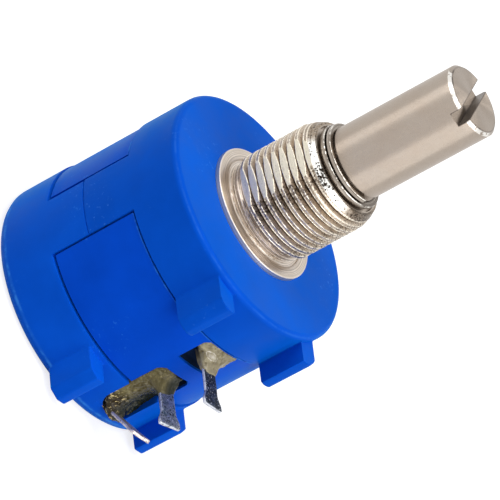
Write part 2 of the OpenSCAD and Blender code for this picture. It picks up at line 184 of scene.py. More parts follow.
class Form:
    """A mesh that grows in millimetres and ends as one piece in metres."""

    def __init__(self, name: str) -> None:
        """Starts an empty mesh under the piece's name."""
        self.name = name
        self.bm = bmesh.new()

    def loop(self, corners: Iterable[tuple[float, float, float]]) -> list[BMEdge]:
        """Lays a closed loop through corners and returns its edges."""
        verts = [self.bm.verts.new(corner) for corner in corners]
        return [self.bm.edges.new(pair) for pair in zip(verts, verts[1:] + verts[:1])]

    def outline(self, points: Outline) -> None:
        """Lays a closed outline in the half plane over -Y.

        Args:
            points: radius and height of each corner.
        """
        self.loop((0.0, -radius, height) for radius, height in points)

    def split_edge(self, low: float, high: float, cuts: int) -> None:
        """Divides the outline's edge that runs between two heights into equal stretches."""
        edges = [e for e in self.bm.edges
                 if abs(min(v.co.z for v in e.verts) - low) < WELD
                 and abs(max(v.co.z for v in e.verts) - high) < WELD]
        bmesh.ops.subdivide_edges(self.bm, edges=edges, cuts=cuts)

    def sweep(self, geom: list, angle: float, steps: int) -> list:
        """Sweeps geometry about the shaft.

        Args:
            geom: the vertices, edges and faces to sweep.
            angle: how far, in degrees.
            steps: number of equal steps.

        Returns:
            The geometry of the last step.
        """
        made = bmesh.ops.spin(
            self.bm, geom=geom, cent=(0, 0, 0), axis=(0, 0, 1), dvec=(0, 0, 0),
            angle=math.radians(angle), steps=steps, use_merge=False, use_normal_flip=False,
            use_duplicate=False)
        return made["geom_last"]

    def spin(self, stops: list[float], step: float) -> None:
        """Turns the outline about the shaft's axis.

        Args:
            stops: rising angles from -Y in degrees, each of which gets a column of vertices.
            step: widest angle between two columns.
        """
        last = [*self.bm.verts, *self.bm.edges]
        for start, end in zip(stops, stops[1:]):
            last = self.sweep(last, end - start, math.ceil((end - start) / step - WELD))
        self.tidy()

    def rotate(self, angle: float, axis: str) -> None:
        """Turns the whole mesh about one of the frame's axes, by an angle in degrees."""
        bmesh.ops.rotate(self.bm, verts=list(self.bm.verts), cent=(0, 0, 0),
                         matrix=Matrix.Rotation(math.radians(angle), 3, axis))

    def tidy(self) -> None:
        """Welds what lies together and turns every face outwards."""
        bmesh.ops.remove_doubles(self.bm, verts=list(self.bm.verts), dist=WELD)
        bmesh.ops.dissolve_degenerate(self.bm, edges=list(self.bm.edges), dist=WELD)
        bmesh.ops.recalc_face_normals(self.bm, faces=list(self.bm.faces))

    def faces(self, test: Test) -> list[BMFace]:
        """Faces whose middle passes a test."""
        return [face for face in self.bm.faces if test(face.calc_center_median())]

    def open_edges(self) -> list[BMEdge]:
        """Edges with a face on one side only."""
        return [edge for edge in self.bm.edges if edge.is_boundary]

    def fill(self, edges: list[BMEdge]) -> None:
        """Closes a loop of edges with a face, if there is one."""
        if edges:
            bmesh.ops.edgeloop_fill(self.bm, edges=edges)

    def extrude(self, faces: list[BMFace]) -> list[BMVert]:
        """Extrudes faces in place and returns the vertices of the new faces."""
        edges = {edge for face in faces for edge in face.edges}
        verts = {vert for face in faces for vert in face.verts}
        made = bmesh.ops.extrude_face_region(self.bm, geom=[*faces, *edges, *verts])
        return [item for item in made["geom"] if isinstance(item, BMVert)]

    def open_through(self, test: Test) -> None:
        """Takes the faces that pass a test out of both sides of a wall and closes the cut's edges."""
        before = set(self.open_edges())
        bmesh.ops.delete(self.bm, geom=self.faces(test), context="FACES")
        rims = [edge for edge in self.open_edges() if edge not in before
                and abs(radius_of(edge.verts[0].co) - radius_of(edge.verts[1].co)) < 0.5]
        bmesh.ops.bridge_loops(self.bm, edges=rims)
        self.tidy()

    def bevel(self, width: float, test: Test = lambda point: True, angle: float = 28.0,
              segments: int = 2) -> None:
        """Rounds the edges that bend more than an angle in degrees and whose middle passes a test."""
        sharp = [edge for edge in self.bm.edges
                 if len(edge.link_faces) == 2 and edge.calc_face_angle(0.0) > math.radians(angle)
                 and test((edge.verts[0].co + edge.verts[1].co) / 2)]
        bmesh.ops.bevel(
            self.bm, geom=sharp, offset=width, offset_type="OFFSET", affect="EDGES",
            segments=segments, profile=0.5, material=-1, clamp_overlap=True)

    def finish(self, material: Material, body: Body, slot: Slot, nodes: Iterable[str],
               crease: float = 40.0, weighted: bool = True) -> Object:
        """Makes the mesh a piece that rides on a body and stands for CAD nodes.

        Args:
            material: the piece's finish.
            body: the body that it moves with.
            slot: the record's slot for that finish; not used.
            nodes: the CAD nodes that it stands for.
            crease: angle in degrees past which an edge stays hard.
            weighted: whether large faces keep their normals flat.

        Returns:
            The finished object.
        """
        self.tidy()
        bmesh.ops.scale(self.bm, vec=(MM, MM, MM), verts=list(self.bm.verts))
        for face in self.bm.faces:
            face.smooth = True
        mesh = bpy.data.meshes.new(self.name)
        self.bm.to_mesh(mesh)
        self.bm.free()
        mesh.set_sharp_from_angle(angle=math.radians(crease))
        mesh.materials.append(material)
        piece = put(self.name, mesh)
        if weighted:
            piece.modifiers.new("flat faces", "WEIGHTED_NORMAL").keep_sharp = True
        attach(piece, body.value)
        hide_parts(*nodes)
        LOG.info("%s: %d faces", self.name, len(mesh.polygons))
        return piece


# ---- shader boards and shared effects ----


class Board:
    """Places and joins the nodes of one shader tree."""

    def __init__(self, tree: NodeTree, place_on: Socket | None = None) -> None:
        """Works on a tree, with the place that its patterns read."""
        self.tree = tree
        self.place_on = place_on

    @classmethod
    def emptied(cls, owner: Material | bpy.types.World) -> Board:
        """A board on the emptied tree of a material or world."""
        owner.use_nodes = True
        owner.node_tree.nodes.clear()
        return cls(owner.node_tree)

    def add(self, kind: str, inputs: dict[str | int, object] | None = None, **settings: object) -> Node:
        """Adds a node.

        Args:
            kind: the node's type, without its ShaderNode prefix.
            inputs: a value, or an output to join, for each input named or numbered.
            settings: the node's own properties.

        Returns:
            The new node.
        """
        node = self.tree.nodes.new("ShaderNode" + kind)
        for name, value in settings.items():
            setattr(node, name, value)
        for name, value in (inputs or {}).items():
            self.feed(node.inputs[name], value)
        return node

    def feed(self, socket: Socket, value: object) -> None:
        """Sets an input to a value, or joins an output to it."""
        if isinstance(value, Socket):
            self.tree.links.new(value, socket)
        elif isinstance(value, tuple) and len(value) == 3 and socket.type == "RGBA":
            socket.default_value = (*value, 1.0)
        else:
            socket.default_value = value

    def maths(self, operation: str, *values: object) -> Socket:
        """Result of a sum on numbers or outputs."""
        return self.add("Math", dict(enumerate(values)), operation=operation).outputs[0]

    def times(self, first: object, *others: object) -> Socket:
        """Product of numbers or outputs."""
        for other in others:
            first = self.maths("MULTIPLY", first, other)
        return first

    def plus(self, first: object, second: object) -> Socket:
        """Sum of two numbers or outputs."""
        return self.maths("ADD", first, second)

    def minus(self, first: object, second: object) -> Socket:
        """Difference of two numbers or outputs."""
        return self.maths("SUBTRACT", first, second)

    def size_of(self, value: object) -> Socket:
        """A value without its sign."""
        return self.maths("ABSOLUTE", value)

    def span(self, value: Socket, low: float, high: float, to_low: float = 0.0,
             to_high: float = 1.0) -> Socket:
        """Maps a range smoothly onto another."""
        node = self.add("MapRange", {"Value": value, "From Min": low, "From Max": high,
                                     "To Min": to_low, "To Max": to_high},
                        interpolation_type="SMOOTHSTEP")
        return node.outputs[0]

    def fall(self, value: Socket, low: float, high: float) -> Socket:
        """Share that falls from 1 to 0 over a range."""
        return self.span(value, low, high, 1.0, 0.0)

    def window(self, value: Socket, start: float, full: float, last: float, end: float) -> Socket:
        """Share that rises from start to full and falls from last to end."""
        return self.times(self.span(value, start, full), self.fall(value, last, end))

    def noise(self, scale: float, **inputs: float) -> Socket:
        """Noise at the board's place, with the node's own inputs by name."""
        return self.add("TexNoise", {"Vector": self.place_on, "Scale": scale, **inputs}).outputs[0]

    def about_axis(self) -> tuple[Socket, Socket, Socket]:
        """Splits the place into its distance from the shaft, its height and its turn in circles."""
        x, y, z = self.add("SeparateXYZ", {0: self.place_on}).outputs
        square = self.plus(self.times(x, x), self.times(y, y))
        angle = self.maths("ARCTAN2", x, self.times(y, -1.0))
        return self.maths("SQRT", square), z, self.maths("DIVIDE", angle, 2.0 * math.pi)

    def along(self, facing: float) -> Socket:
        """Distance from the shaft's axis along a direction, in degrees from +X towards +Y."""
        angle = math.radians(facing)
        dot = self.add("VectorMath", {0: self.place_on, 1: (math.cos(angle), math.sin(angle), 0.0)},
                       operation="DOT_PRODUCT")
        return dot.outputs["Value"]

    def blend(self, share: object, start: object, end: object) -> Socket:
        """Mixes two colours by a share."""
        node = self.add("Mix", data_type="RGBA")
        colours = [socket for socket in node.inputs if socket.type == "RGBA"]
        self.feed(node.inputs[0], share)
        self.feed(colours[0], start)
        self.feed(colours[1], end)
        return next(socket for socket in node.outputs if socket.type == "RGBA")

    def paint(self, colour: Socket, *coats: tuple[object, Colour]) -> Socket:
        """Lays coats over a colour in order, each a share and a tint."""
        for share, tint in coats:
            colour = self.blend(share, colour, tint)
        return colour

    def relief(self, *layers: tuple[Socket, float]) -> Socket:
        """Bump from heights that each span a depth in metres, laid on one another in order."""
        under = {}
        for height, depth in layers:
            bump = self.add("Bump", {"Height": height, "Distance": depth, "Strength": 1.0, **under})
            under = {"Normal": bump.outputs[0]}
        return under["Normal"]

    def effect(self, group: NodeTree, inputs: dict[str, object]) -> Node:
        """Places a shared effect at the board's place, with inputs of its own."""
        node = self.tree.nodes.new("ShaderNodeGroup")
        node.node_tree = group
        for name, value in {"Place": self.place_on, **inputs}.items():
            self.feed(node.inputs[name], value)
        return node

    def grain(self, scale: float) -> Socket:
        """Height of the shared fine grain."""
        return self.effect(Effects.grain(), {"Scale": scale}).outputs[0]

    def tool_marks(self, scale: float) -> Socket:
        """Height of the shared marks of a lathe."""
        return self.effect(Effects.tool_marks(), {"Scale": scale}).outputs[0]

    def clouds(self, scale: float, spread: float, first: Colour, second: Colour) -> tuple[Socket, Socket]:
        """Mask and tint of the shared soft patches of two colours."""
        mask, tint = self.effect(Effects.clouds(), {
            "Scale": scale, "Spread": spread, "First": first, "Second": second}).outputs
        return mask, tint

    def ring_band(self, circle: Pair, reach: float, scale: float = 1400.0, least: float = 0.0) -> Socket:
        """Mask of a shared broken band along a circle about the shaft, used for painted highlights along
        rims, painted shade in grooves and dark lines.

        Args:
            circle: its radius and height in millimetres.
            reach: how far from it the band goes, in millimetres.
            scale: how finely the band is broken up.
            least: share that the band keeps where it is broken.

        Returns:
            The mask.
        """
        radius, height, reach = metres(*circle, reach)
        return self.effect(Effects.ring_band(), {
            "Radius": radius, "Height": height, "Reach": reach, "Scale": scale,
            "Least": least}).outputs[0]


class Effects:
    """Node groups that several finishes share, each built once."""

    @staticmethod
    def _group(name: str, inputs: dict[str, float | None],
               outputs: Iterable[str]) -> tuple[Board, dict[str, Socket], dict[str, Socket]]:
        """Starts a group that reads a place.

        Args:
            name: the group's name.
            inputs: default of each number that goes in, or None for a colour.
            outputs: the numbers that come out, and "Tint" for a colour.

        Returns:
            Its board, the sockets that bring its inputs and the sockets that take its outputs.
        """
        tree = bpy.data.node_groups.new(name, "ShaderNodeTree")
        tree.interface.new_socket("Place", in_out="INPUT", socket_type="NodeSocketVector")
        for label, value in inputs.items():
            kind = "NodeSocketColor" if value is None else "NodeSocketFloat"
            socket = tree.interface.new_socket(label, in_out="INPUT", socket_type=kind)
            if value is not None:
                socket.default_value = value
        for label in outputs:
            kind = "NodeSocketColor" if label == "Tint" else "NodeSocketFloat"
            tree.interface.new_socket(label, in_out="OUTPUT", socket_type=kind)
        start, end = tree.nodes.new("NodeGroupInput"), tree.nodes.new("NodeGroupOutput")
        brought = {socket.name: socket for socket in start.outputs}
        taken = {socket.name: socket for socket in end.inputs}
        return Board(tree, brought["Place"]), brought, taken

    @classmethod
    @cache
    def grain(cls) -> NodeTree:
        """Fine even grain: a height from 0 to 1."""
        board, brought, taken = cls._group("grain", {"Scale": 4000.0}, ["Height"])
        board.feed(taken["Height"], board.noise(brought["Scale"], Detail=3.0, Roughness=0.6))
        return board.tree

    @classmethod
    @cache
    def clouds(cls) -> NodeTree:
        """Broad soft patches: a mask from 0 to 1 and a tint between two colours."""
        board, brought, taken = cls._group(
            "clouds", {"Scale": 200.0, "Spread": 0.2, "First": None, "Second": None}, ["Mask", "Tint"])
        patch = board.noise(brought["Scale"], Detail=4.0, Roughness=0.55)
        mask = board.add("MapRange", {
            "Value": patch, "From Min": board.minus(0.5, brought["Spread"]),
            "From Max": board.plus(0.5, brought["Spread"])}).outputs[0]
        board.feed(taken["Mask"], mask)
        board.feed(taken["Tint"], board.blend(mask, brought["First"], brought["Second"]))
        return board.tree

    @classmethod
    @cache
    def tool_marks(cls) -> NodeTree:
        """Marks that a lathe leaves around the shaft's axis: a height from 0 to 1."""
        board, brought, taken = cls._group("tool marks", {"Scale": 6000.0}, ["Height"])
        across, height, _ = board.about_axis()
        board.place_on = board.add("CombineXYZ", {0: across, 1: 0.0, 2: height}).outputs[0]
        board.feed(taken["Height"], board.noise(brought["Scale"], Detail=2.0, Roughness=0.7))
        return board.tree

    @classmethod
    @cache
    def ring_band(cls) -> NodeTree:
        """Broken band along a turned edge: a mask from 0 to 1 around a circle about the axis."""
        board, brought, taken = cls._group(
            "ring band", {"Radius": 0.01, "Height": 0.0, "Reach": 0.0003, "Scale": 1400.0,
                          "Least": 0.0}, ["Mask"])
        across, height, _ = board.about_axis()
        out = board.minus(across, brought["Radius"])
        up = board.minus(height, brought["Height"])
        gap = board.maths("SQRT", board.plus(board.times(out, out), board.times(up, up)))
        near = board.fall(gap, 0.0, brought["Reach"])
        broken = board.noise(brought["Scale"], Detail=4.0, Roughness=0.6)
        share = board.span(broken, 0.42, 0.62, brought["Least"])
        board.feed(taken["Mask"], board.times(near, share))
        return board.tree


# ---- finishes ----


@dataclass(frozen=True)
class Finish:
    """Base of every finish: a named material that ends in a Principled shader."""

    name: str

    def build(self) -> Material:
        """Builds the material."""
        material = bpy.data.materials.new(self.name)
        board = Board.emptied(material)
        board.place_on = board.add("TexCoord").outputs["Object"]
        shader = board.add("BsdfPrincipled", self.inputs(board))
        board.add("OutputMaterial", {"Surface": shader.outputs[0]})
        return material

    def inputs(self, board: Board) -> dict[str, object]:
        """Values and outputs for the shader's inputs, made on a board."""
        raise NotImplementedError


@dataclass(frozen=True)
class Moulding(Finish):
    """Moulded plastic or rubber: softly clouded, with a fine grain, dust, a painted highlight along a rim and
    painted shade in grooves.
    """

    deep: Colour
    light: Colour
    roughness: float = 0.42
    uneven: float = 0.08
    grain_depth: float = 4e-6
    specular: float = 0.5
    specular_tint: Colour = (1.0, 1.0, 1.0)
    sheen: float = 0.0
    sheen_tint: Colour = (0.05, 0.42, 1.0)
    # The dust and the painted highlight along the rim share this colour; rim is the circle of that highlight.
    worn: Colour = (0.05, 0.30, 0.90)
    rim: Pair | None = None
    rim_reach: float = 0.24
    rim_highlight_share: float = 0.75
    # Circles of the grooves that get painted shade.
    grooves: tuple[Pair, ...] = ()
    groove_shade_reach: float = 0.75
    groove_shade: Colour = (0.0003, 0.008, 0.10)
    dusty: float = 0.0

    def inputs(self, board: Board) -> dict[str, object]:
        """Values and outputs for the shader's inputs, made on a board."""
        mask, colour = board.clouds(260.0, 0.22, self.deep, self.light)
        if self.dusty > 0.0:
            dust = board.times(board.span(board.noise(3400.0), 0.62, 0.74),
                               board.span(board.noise(160.0), 0.5, 0.7), self.dusty)
            colour = board.blend(dust, colour, self.worn)
        # Painted highlight: a broken lighter band along the rim.
        if self.rim is not None:
            rim_highlight = board.ring_band(self.rim, self.rim_reach, 800.0, 0.2)
            colour = board.blend(board.times(rim_highlight, self.rim_highlight_share), colour, self.worn)
        # Painted shade: a dark band along each groove.
        for groove in self.grooves:
            shade = board.ring_band(groove, self.groove_shade_reach, least=1.0)
            colour = board.blend(shade, colour, self.groove_shade)
        return {
            "Base Color": colour,
            "Roughness": board.span(mask, 0.0, 1.0, self.roughness - self.uneven,
                                    self.roughness + self.uneven),
            "Specular IOR Level": self.specular, "Specular Tint": self.specular_tint,
            "Sheen Weight": self.sheen, "Sheen Tint": self.sheen_tint, "Sheen Roughness": 0.4,
            "Normal": board.relief((board.grain(5000.0), self.grain_depth))}


@dataclass(frozen=True)
class TurnedMetal(Finish):
    """Plated metal off a lathe: fine marks around the axis, faint warm clouds and painted highlights along
    rims.
    """

    bright: Colour
    warm: Colour
    roughness: float = 0.26
    mark_depth: float = 3e-6
    mark_scale: float = 9000.0
    streaks: float = 0.0
    soot: Colour = (0.07, 0.05, 0.035)
    brushed: float = 0.0
    # Circles along which a painted highlight brightens the rims.
    rims: tuple[Pair, ...] = ()
    rim_reach: float = 0.07
    highlight_tint: Colour = (0.95, 0.90, 0.82)
    band_scale: float = 2600.0

    def inputs(self, board: Board) -> dict[str, object]:
        """Values and outputs for the shader's inputs, made on a board."""
        _, tint = board.clouds(420.0, 0.2, self.bright, self.warm)
        marks = board.tool_marks(self.mark_scale)
        grain = board.grain(16000.0)
        lines = board.times(board.fall(marks, 0.40, 0.55), self.streaks)
        colour = self.detail(board, board.blend(lines, tint, self.soot))
        # Painted highlight: a broken bright band along each rim.
        for rim in self.rims:
            rim_highlight = board.ring_band(rim, self.rim_reach, self.band_scale)
            colour = board.blend(rim_highlight, colour, self.highlight_tint)
        inputs = {
            "Base Color": colour, "Metallic": 1.0,
            "Roughness": board.span(grain, 0.3, 0.7, self.roughness - 0.07, self.roughness + 0.1),
            "Normal": board.relief((grain, self.mark_depth * 0.6), (marks, self.mark_depth))}
        if self.brushed > 0.0:
            around = board.add("Tangent", direction_type="RADIAL", axis="Z")
            inputs |= {"Anisotropic": self.brushed, "Anisotropic Rotation": 0.25,
                       "Tangent": around.outputs[0]}
        return inputs

    def detail(self, board: Board, colour: Socket) -> Socket:
        """Colour with the marks that one part alone has; here there are none."""
        return colour


@dataclass(frozen=True, kw_only=True)
class SlottedMetal(TurnedMetal):
    """Turned metal with a driver slot in its end: a painted highlight on the chamfer, a dark line inside it
    and painted shade in the slot.
    """

    shaft: Shaft
    tip: float
    lit_turns: tuple[float, ...] = (-0.335, -0.31, 0.08, 0.12)
    lit_tint: Colour = (0.93, 0.90, 0.85)
    line_reach: float = 0.13
    line_tint: Colour = (0.07, 0.055, 0.045)
    # Painted shade on the slot's walls and floor.
    wall_shade: Colour = (0.10, 0.08, 0.065)
    wall_shade_share: float = 0.85
    floor_shade: Colour = (0.27, 0.22, 0.175)
    floor_shade_share: float = 0.8

    def detail(self, board: Board, colour: Socket) -> Socket:
        """Paints a highlight on the near part of the chamfer, darkens its inner line and paints shade on the
        slot's floor and walls.
        """
        across, height, turn = board.about_axis()
        face_r = self.shaft.shaft_r - self.shaft.chamfer
        edge = self.tip - self.shaft.chamfer
        lit = board.times(
            board.span(height, *metres(edge - 0.03, edge + 0.01)),
            board.span(across, *metres(face_r + 0.02, face_r + 0.05)),
            board.times(board.window(turn, *self.lit_turns),
                        board.span(board.grain(1900.0), 0.40, 0.48)))
        line = board.ring_band((face_r, self.tip), self.line_reach, 1200.0, 0.35)
        side = board.size_of(board.along(self.shaft.slot_turn + 90.0))
        half = self.shaft.slot_w / 2.0
        floor = self.tip - self.shaft.slot_depth
        above = board.span(height, *metres(floor - 0.04, floor - 0.01))
        near_wall = board.span(side, *metres(half - 0.14, half - 0.04))
        lip = board.fall(side, *metres(half + 0.03, half + 0.10))
        # Coats: painted highlight on the chamfer, the dark inner line, then painted shade on the slot's floor
        # and walls.
        return board.paint(
            colour, (lit, self.lit_tint), (line, self.line_tint),
            (board.times(above, board.minus(1.0, near_wall), self.floor_shade_share), self.floor_shade),
            (board.times(above, near_wall, lip, self.wall_shade_share), self.wall_shade))


@dataclass(frozen=True, kw_only=True)
class ThreadedMetal(TurnedMetal):
    """Turned metal with a thread: painted highlights on the burrs and on part of the end chamfer, dark roots
    and speckled flanks.

    Turns are shares of a circle from -Y towards +X, and heights are in millimetres.
    """

    thread: Bushing
    thread_z: tuple[float, ...] = (0.95, 1.15, 7.78, 7.88)
    end_z: Pair = (7.78, 7.86)
    end_r: Pair = (3.95, 4.0)
    lit_end_turns: tuple[float, ...] = (-0.30, -0.25, -0.06, 0.01)
    low_turns: tuple[float, ...] = (-0.04, 0.02, 0.10, 0.2)
    stain_turn: float = -0.146
    neck_valleys: tuple[float, ...] = (0.02, 0.27, 0.55, 0.84)
    valley_reach: float = 0.12
    burr_highlight: Colour = (0.97, 0.90, 0.76)
    crest_tint: Colour = (0.30, 0.23, 0.16)
    flank_tint: Colour = (0.62, 0.52, 0.41)
    root_tint: Colour = (0.16, 0.12, 0.085)
    tarnish: Colour = (0.085, 0.062, 0.045)
    pit_tint: Colour = (0.03, 0.022, 0.016)
    facet_tint: Colour = (0.66, 0.62, 0.50)
    end_highlight: Colour = (0.88, 0.87, 0.83)

    def detail(self, board: Board, colour: Socket) -> Socket:
        """Stains the thread along its helix, clears its flat and paints a highlight on part of the end
        chamfer.
        """
        across, height, turn = board.about_axis()
        cut = self.thread
        climb = board.maths("DIVIDE", board.plus(height, cut.lead * MM), cut.pitch * MM)
        phase = board.maths("FRACT", board.minus(climb, turn))
        rise = board.times(board.size_of(board.minus(phase, 0.5)), 2.0)
        speckle = board.grain(6800.0)
        stains = board.grain(5600.0)
        spotted = partial(board.span, board.span(speckle, 0.43, 0.57), 0.0, 1.0)
        on_thread = board.window(height, *metres(*self.thread_z))
        on_flat = board.times(on_thread, board.span(
            board.along(cut.flat_turn), *metres(cut.flat_reach - 0.03, cut.flat_reach - 0.01)))
        on_helix = board.minus(on_thread, on_flat)
        edge = board.size_of(board.minus(rise, 1.04 - cut.crest_share))
        colour = board.paint(
            colour,
            (board.times(on_helix, spotted(0.35, 0.92)), self.crest_tint),
            (board.times(on_helix, board.fall(rise, 0.50, 0.66), spotted(0.4, 1.0)), self.flank_tint),
            (board.times(on_helix, board.fall(rise, 0.06, 0.22)), self.root_tint),
            # Painted highlight along the burrs at the crests' edges.
            (board.times(board.fall(edge, 0.05, 0.15), on_helix, board.span(speckle, 0.38, 0.50)),
             self.burr_highlight))
        for valley_z in self.neck_valleys:
            line = board.ring_band((cut.neck_r, valley_z), self.valley_reach, self.band_scale, 0.4)
            colour = board.blend(line, colour, self.root_tint)
        beside = board.size_of(board.minus(turn, self.stain_turn))
        band = board.span(beside, 0.0, 0.07, 0.085, -0.03)
        below = board.plus(board.span(turn, -0.02, 0.06, 0.0, 0.10), stains)
        tarnished = board.span(board.plus(below, band), 0.54, 0.66, 0.0, 0.85)
        end = board.times(board.span(height, *metres(*self.end_z)),
                          board.span(across, *metres(*self.end_r)))
        low = board.times(board.window(turn, *self.low_turns), spotted(0.45, 0.9))
        pitted = board.span(board.plus(stains, band), 0.52, 0.58)
        return board.paint(
            colour,
            (board.times(tarnished, on_helix), self.tarnish),
            (board.times(on_flat, spotted(0.5, 1.0)), self.facet_tint),
            (board.times(end, spotted(0.6, 0.97)), self.crest_tint),
            # Painted highlight on part of the end chamfer.
            (board.times(end, board.window(turn, *self.lit_end_turns)), self.end_highlight),
            (board.times(end, low), self.tarnish),
            (board.times(end, pitted), self.pit_tint))


@dataclass(frozen=True)
class TinnedSheet(Finish):
    """Stamped sheet with an uneven coat of solder: fine specks, dull patches and a painted highlight on the
    side faces.
    """

    bright: Colour
    dull: Colour
    soot: Colour = (0.02, 0.025, 0.03)
    speck: Colour = (0.80, 0.80, 0.80)
    # Colour of the painted highlight on the side faces.
    edge: Colour = (0.62, 0.64, 0.70)
    sooty: float = 0.45
    patch_scale: float = 2600.0
    patch_depth: float = 14e-6
    speck_share: float = 0.60
    speck_depth: float = 10e-6
    roughness: float = 0.42

    def inputs(self, board: Board) -> dict[str, object]:
        """Values and outputs for the shader's inputs, made on a board."""
        mask, colour = board.clouds(1300.0, 0.2, self.dull, self.bright)
        patches = board.grain(self.patch_scale)
        specks = board.grain(6500.0)
        lit_sides = board.add("Attribute", attribute_name=SolderLug.LIT_SIDES).outputs["Fac"]
        colour = board.paint(
            colour,
            (board.fall(patches, self.sooty - 0.08, self.sooty + 0.08), self.soot),
            (board.span(specks, self.speck_share, self.speck_share + 0.06), self.speck),
            # Painted highlight on the side faces, broken by the patches.
            (board.times(lit_sides, board.span(patches, 0.34, 0.52, 0.25, 1.0)), self.edge))
        return {
            "Base Color": colour, "Metallic": 0.85,
            "Roughness": board.span(mask, 0.0, 1.0, self.roughness + 0.12, self.roughness - 0.08),
            "Normal": board.relief((patches, self.patch_depth), (specks, self.speck_depth))}


@dataclass(frozen=True)
class Sealing(Finish):
    """Cured sealing resin: khaki and olive, glossy, with crinkles, golden glints, a painted highlight around
    its bubble, and painted shade on its far side and on the sheet that lines the hollows.

    The glints and the charring lie below one height in millimetres, and none are made without it.
    """

    pale: Colour
    deep: Colour
    glint: Colour
    # Colour of the painted shade on the sheet beyond the shore, which lines the hollows.
    shade_film: Colour = (0.005, 0.017, 0.055)
    charred: Colour = (0.030, 0.018, 0.006)
    # Colour of the painted shade towards the far side, +X.
    underside_shade: Colour = (0.006, 0.011, 0.006)
    # Colour of the painted highlight around and on the bubble.
    bubble: Colour = (0.76, 0.70, 0.60)
    glint_share: float = 0.5
    glint_below: float = 1.0
    shade_x: Pair = (-0.95, 0.4)
    shaded: float = 0.93
    gloss: float = 0.15
    roughness: float = 0.3
    crinkle_depth: float = 45e-6
    grain_depth: float = 7e-6

    def inputs(self, board: Board) -> dict[str, object]:
        """Values and outputs for the shader's inputs, made on a board."""
        mask, tint = board.clouds(1050.0, 0.16, self.deep, self.pale)
        crinkle = board.noise(1500.0, Detail=4.0, Roughness=0.6, Distortion=0.7)
        grain = board.grain(3000.0)
        x, _, z = board.add("SeparateXYZ", {0: board.place_on}).outputs
        on_shade_film = board.add("Attribute", attribute_name=SealedPocket.SHADE_FILM).outputs["Fac"]
        blister = board.add("Attribute", attribute_name=SealedPocket.BUBBLE).outputs["Fac"]
        near_end = board.span(z, *metres(self.glint_below, self.glint_below + 1.2), 1.0, 0.1)
        colour = board.blend(board.span(crinkle, 0.36, 0.50, 0.6, 0.0), tint, self.deep)
        if self.glint_below < 0.0:
            burnt = board.times(near_end, board.span(crinkle, 0.45, 0.65, 0.98, 0.6))
            colour = board.blend(burnt, colour, self.charred)
        glints = board.times(near_end, board.span(grain, self.glint_share, self.glint_share + 0.1))
        # Painted highlight: a pale ring around the bubble and a pale top on it.
        outline = board.times(
            board.span(board.size_of(board.minus(blister, 0.22)), 0.02, 0.12, 0.8, 0.0),
            board.span(crinkle, 0.40, 0.56, 0.15, 1.0))
        crown_highlight = board.span(blister, 0.30, 0.95, 0.0, 0.45)
        colour = board.paint(
            colour, (glints, self.glint),
            # Painted shade that darkens the resin towards the far side, +X.
            (board.span(x, *metres(*self.shade_x), 0.0, self.shaded), self.underside_shade),
            # Painted highlight around and on the bubble, then painted shade on the sheet beyond the shore.
            (board.maths("MAXIMUM", outline, crown_highlight), self.bubble), (on_shade_film, self.shade_film))
        rough = board.span(mask, 0.0, 1.0, self.roughness + 0.08, self.roughness - 0.1)
        coat = board.span(on_shade_film, 0.0, 1.0, self.gloss, 0.0)
        return {
            "Base Color": colour, "Roughness": board.maths("MAXIMUM", rough, on_shade_film),
            "Specular IOR Level": 0.15, "Coat Roughness": 0.10,
            "Coat Weight": board.maths("MAXIMUM", coat, board.span(blister, 0.0, 0.2)),
            "Normal": board.relief((crinkle, self.crinkle_depth), (grain, self.grain_depth))}


@dataclass(frozen=True)
class Winding(Finish):
    """Fine wire wound side by side around a core that follows the tube's bore."""

    name: str = "wound resistance wire"
    wire: Colour = (0.62, 0.40, 0.25)
    shadow: Colour = (0.496, 0.32, 0.20)
    # Colour of the painted shade between the turns.
    gap: Colour = (0.10, 0.05, 0.03)
    turns_per_circle: float = 360.0
    ridge_depth: float = 20e-6

    def inputs(self, board: Board) -> dict[str, object]:
        """Values and outputs for the shader's inputs, made on a board."""
        x, y, _ = board.add("SeparateXYZ", {0: board.place_on}).outputs
        wave = board.maths("SINE", board.times(board.maths("ARCTAN2", y, x), self.turns_per_circle))
        ridge = board.span(wave, -1.0, 1.0)
        _, tint = board.clouds(500.0, 0.2, self.shadow, self.wire)
        # Between the ridges the colour falls to painted shade.
        return {
            "Base Color": board.blend(ridge, self.gap, tint), "Metallic": 1.0,
            "Roughness": board.span(ridge, 0.0, 1.0, 0.5, 0.28),
            "Normal": board.relief((ridge, self.ridge_depth))}


# ---- the blue mouldings ----


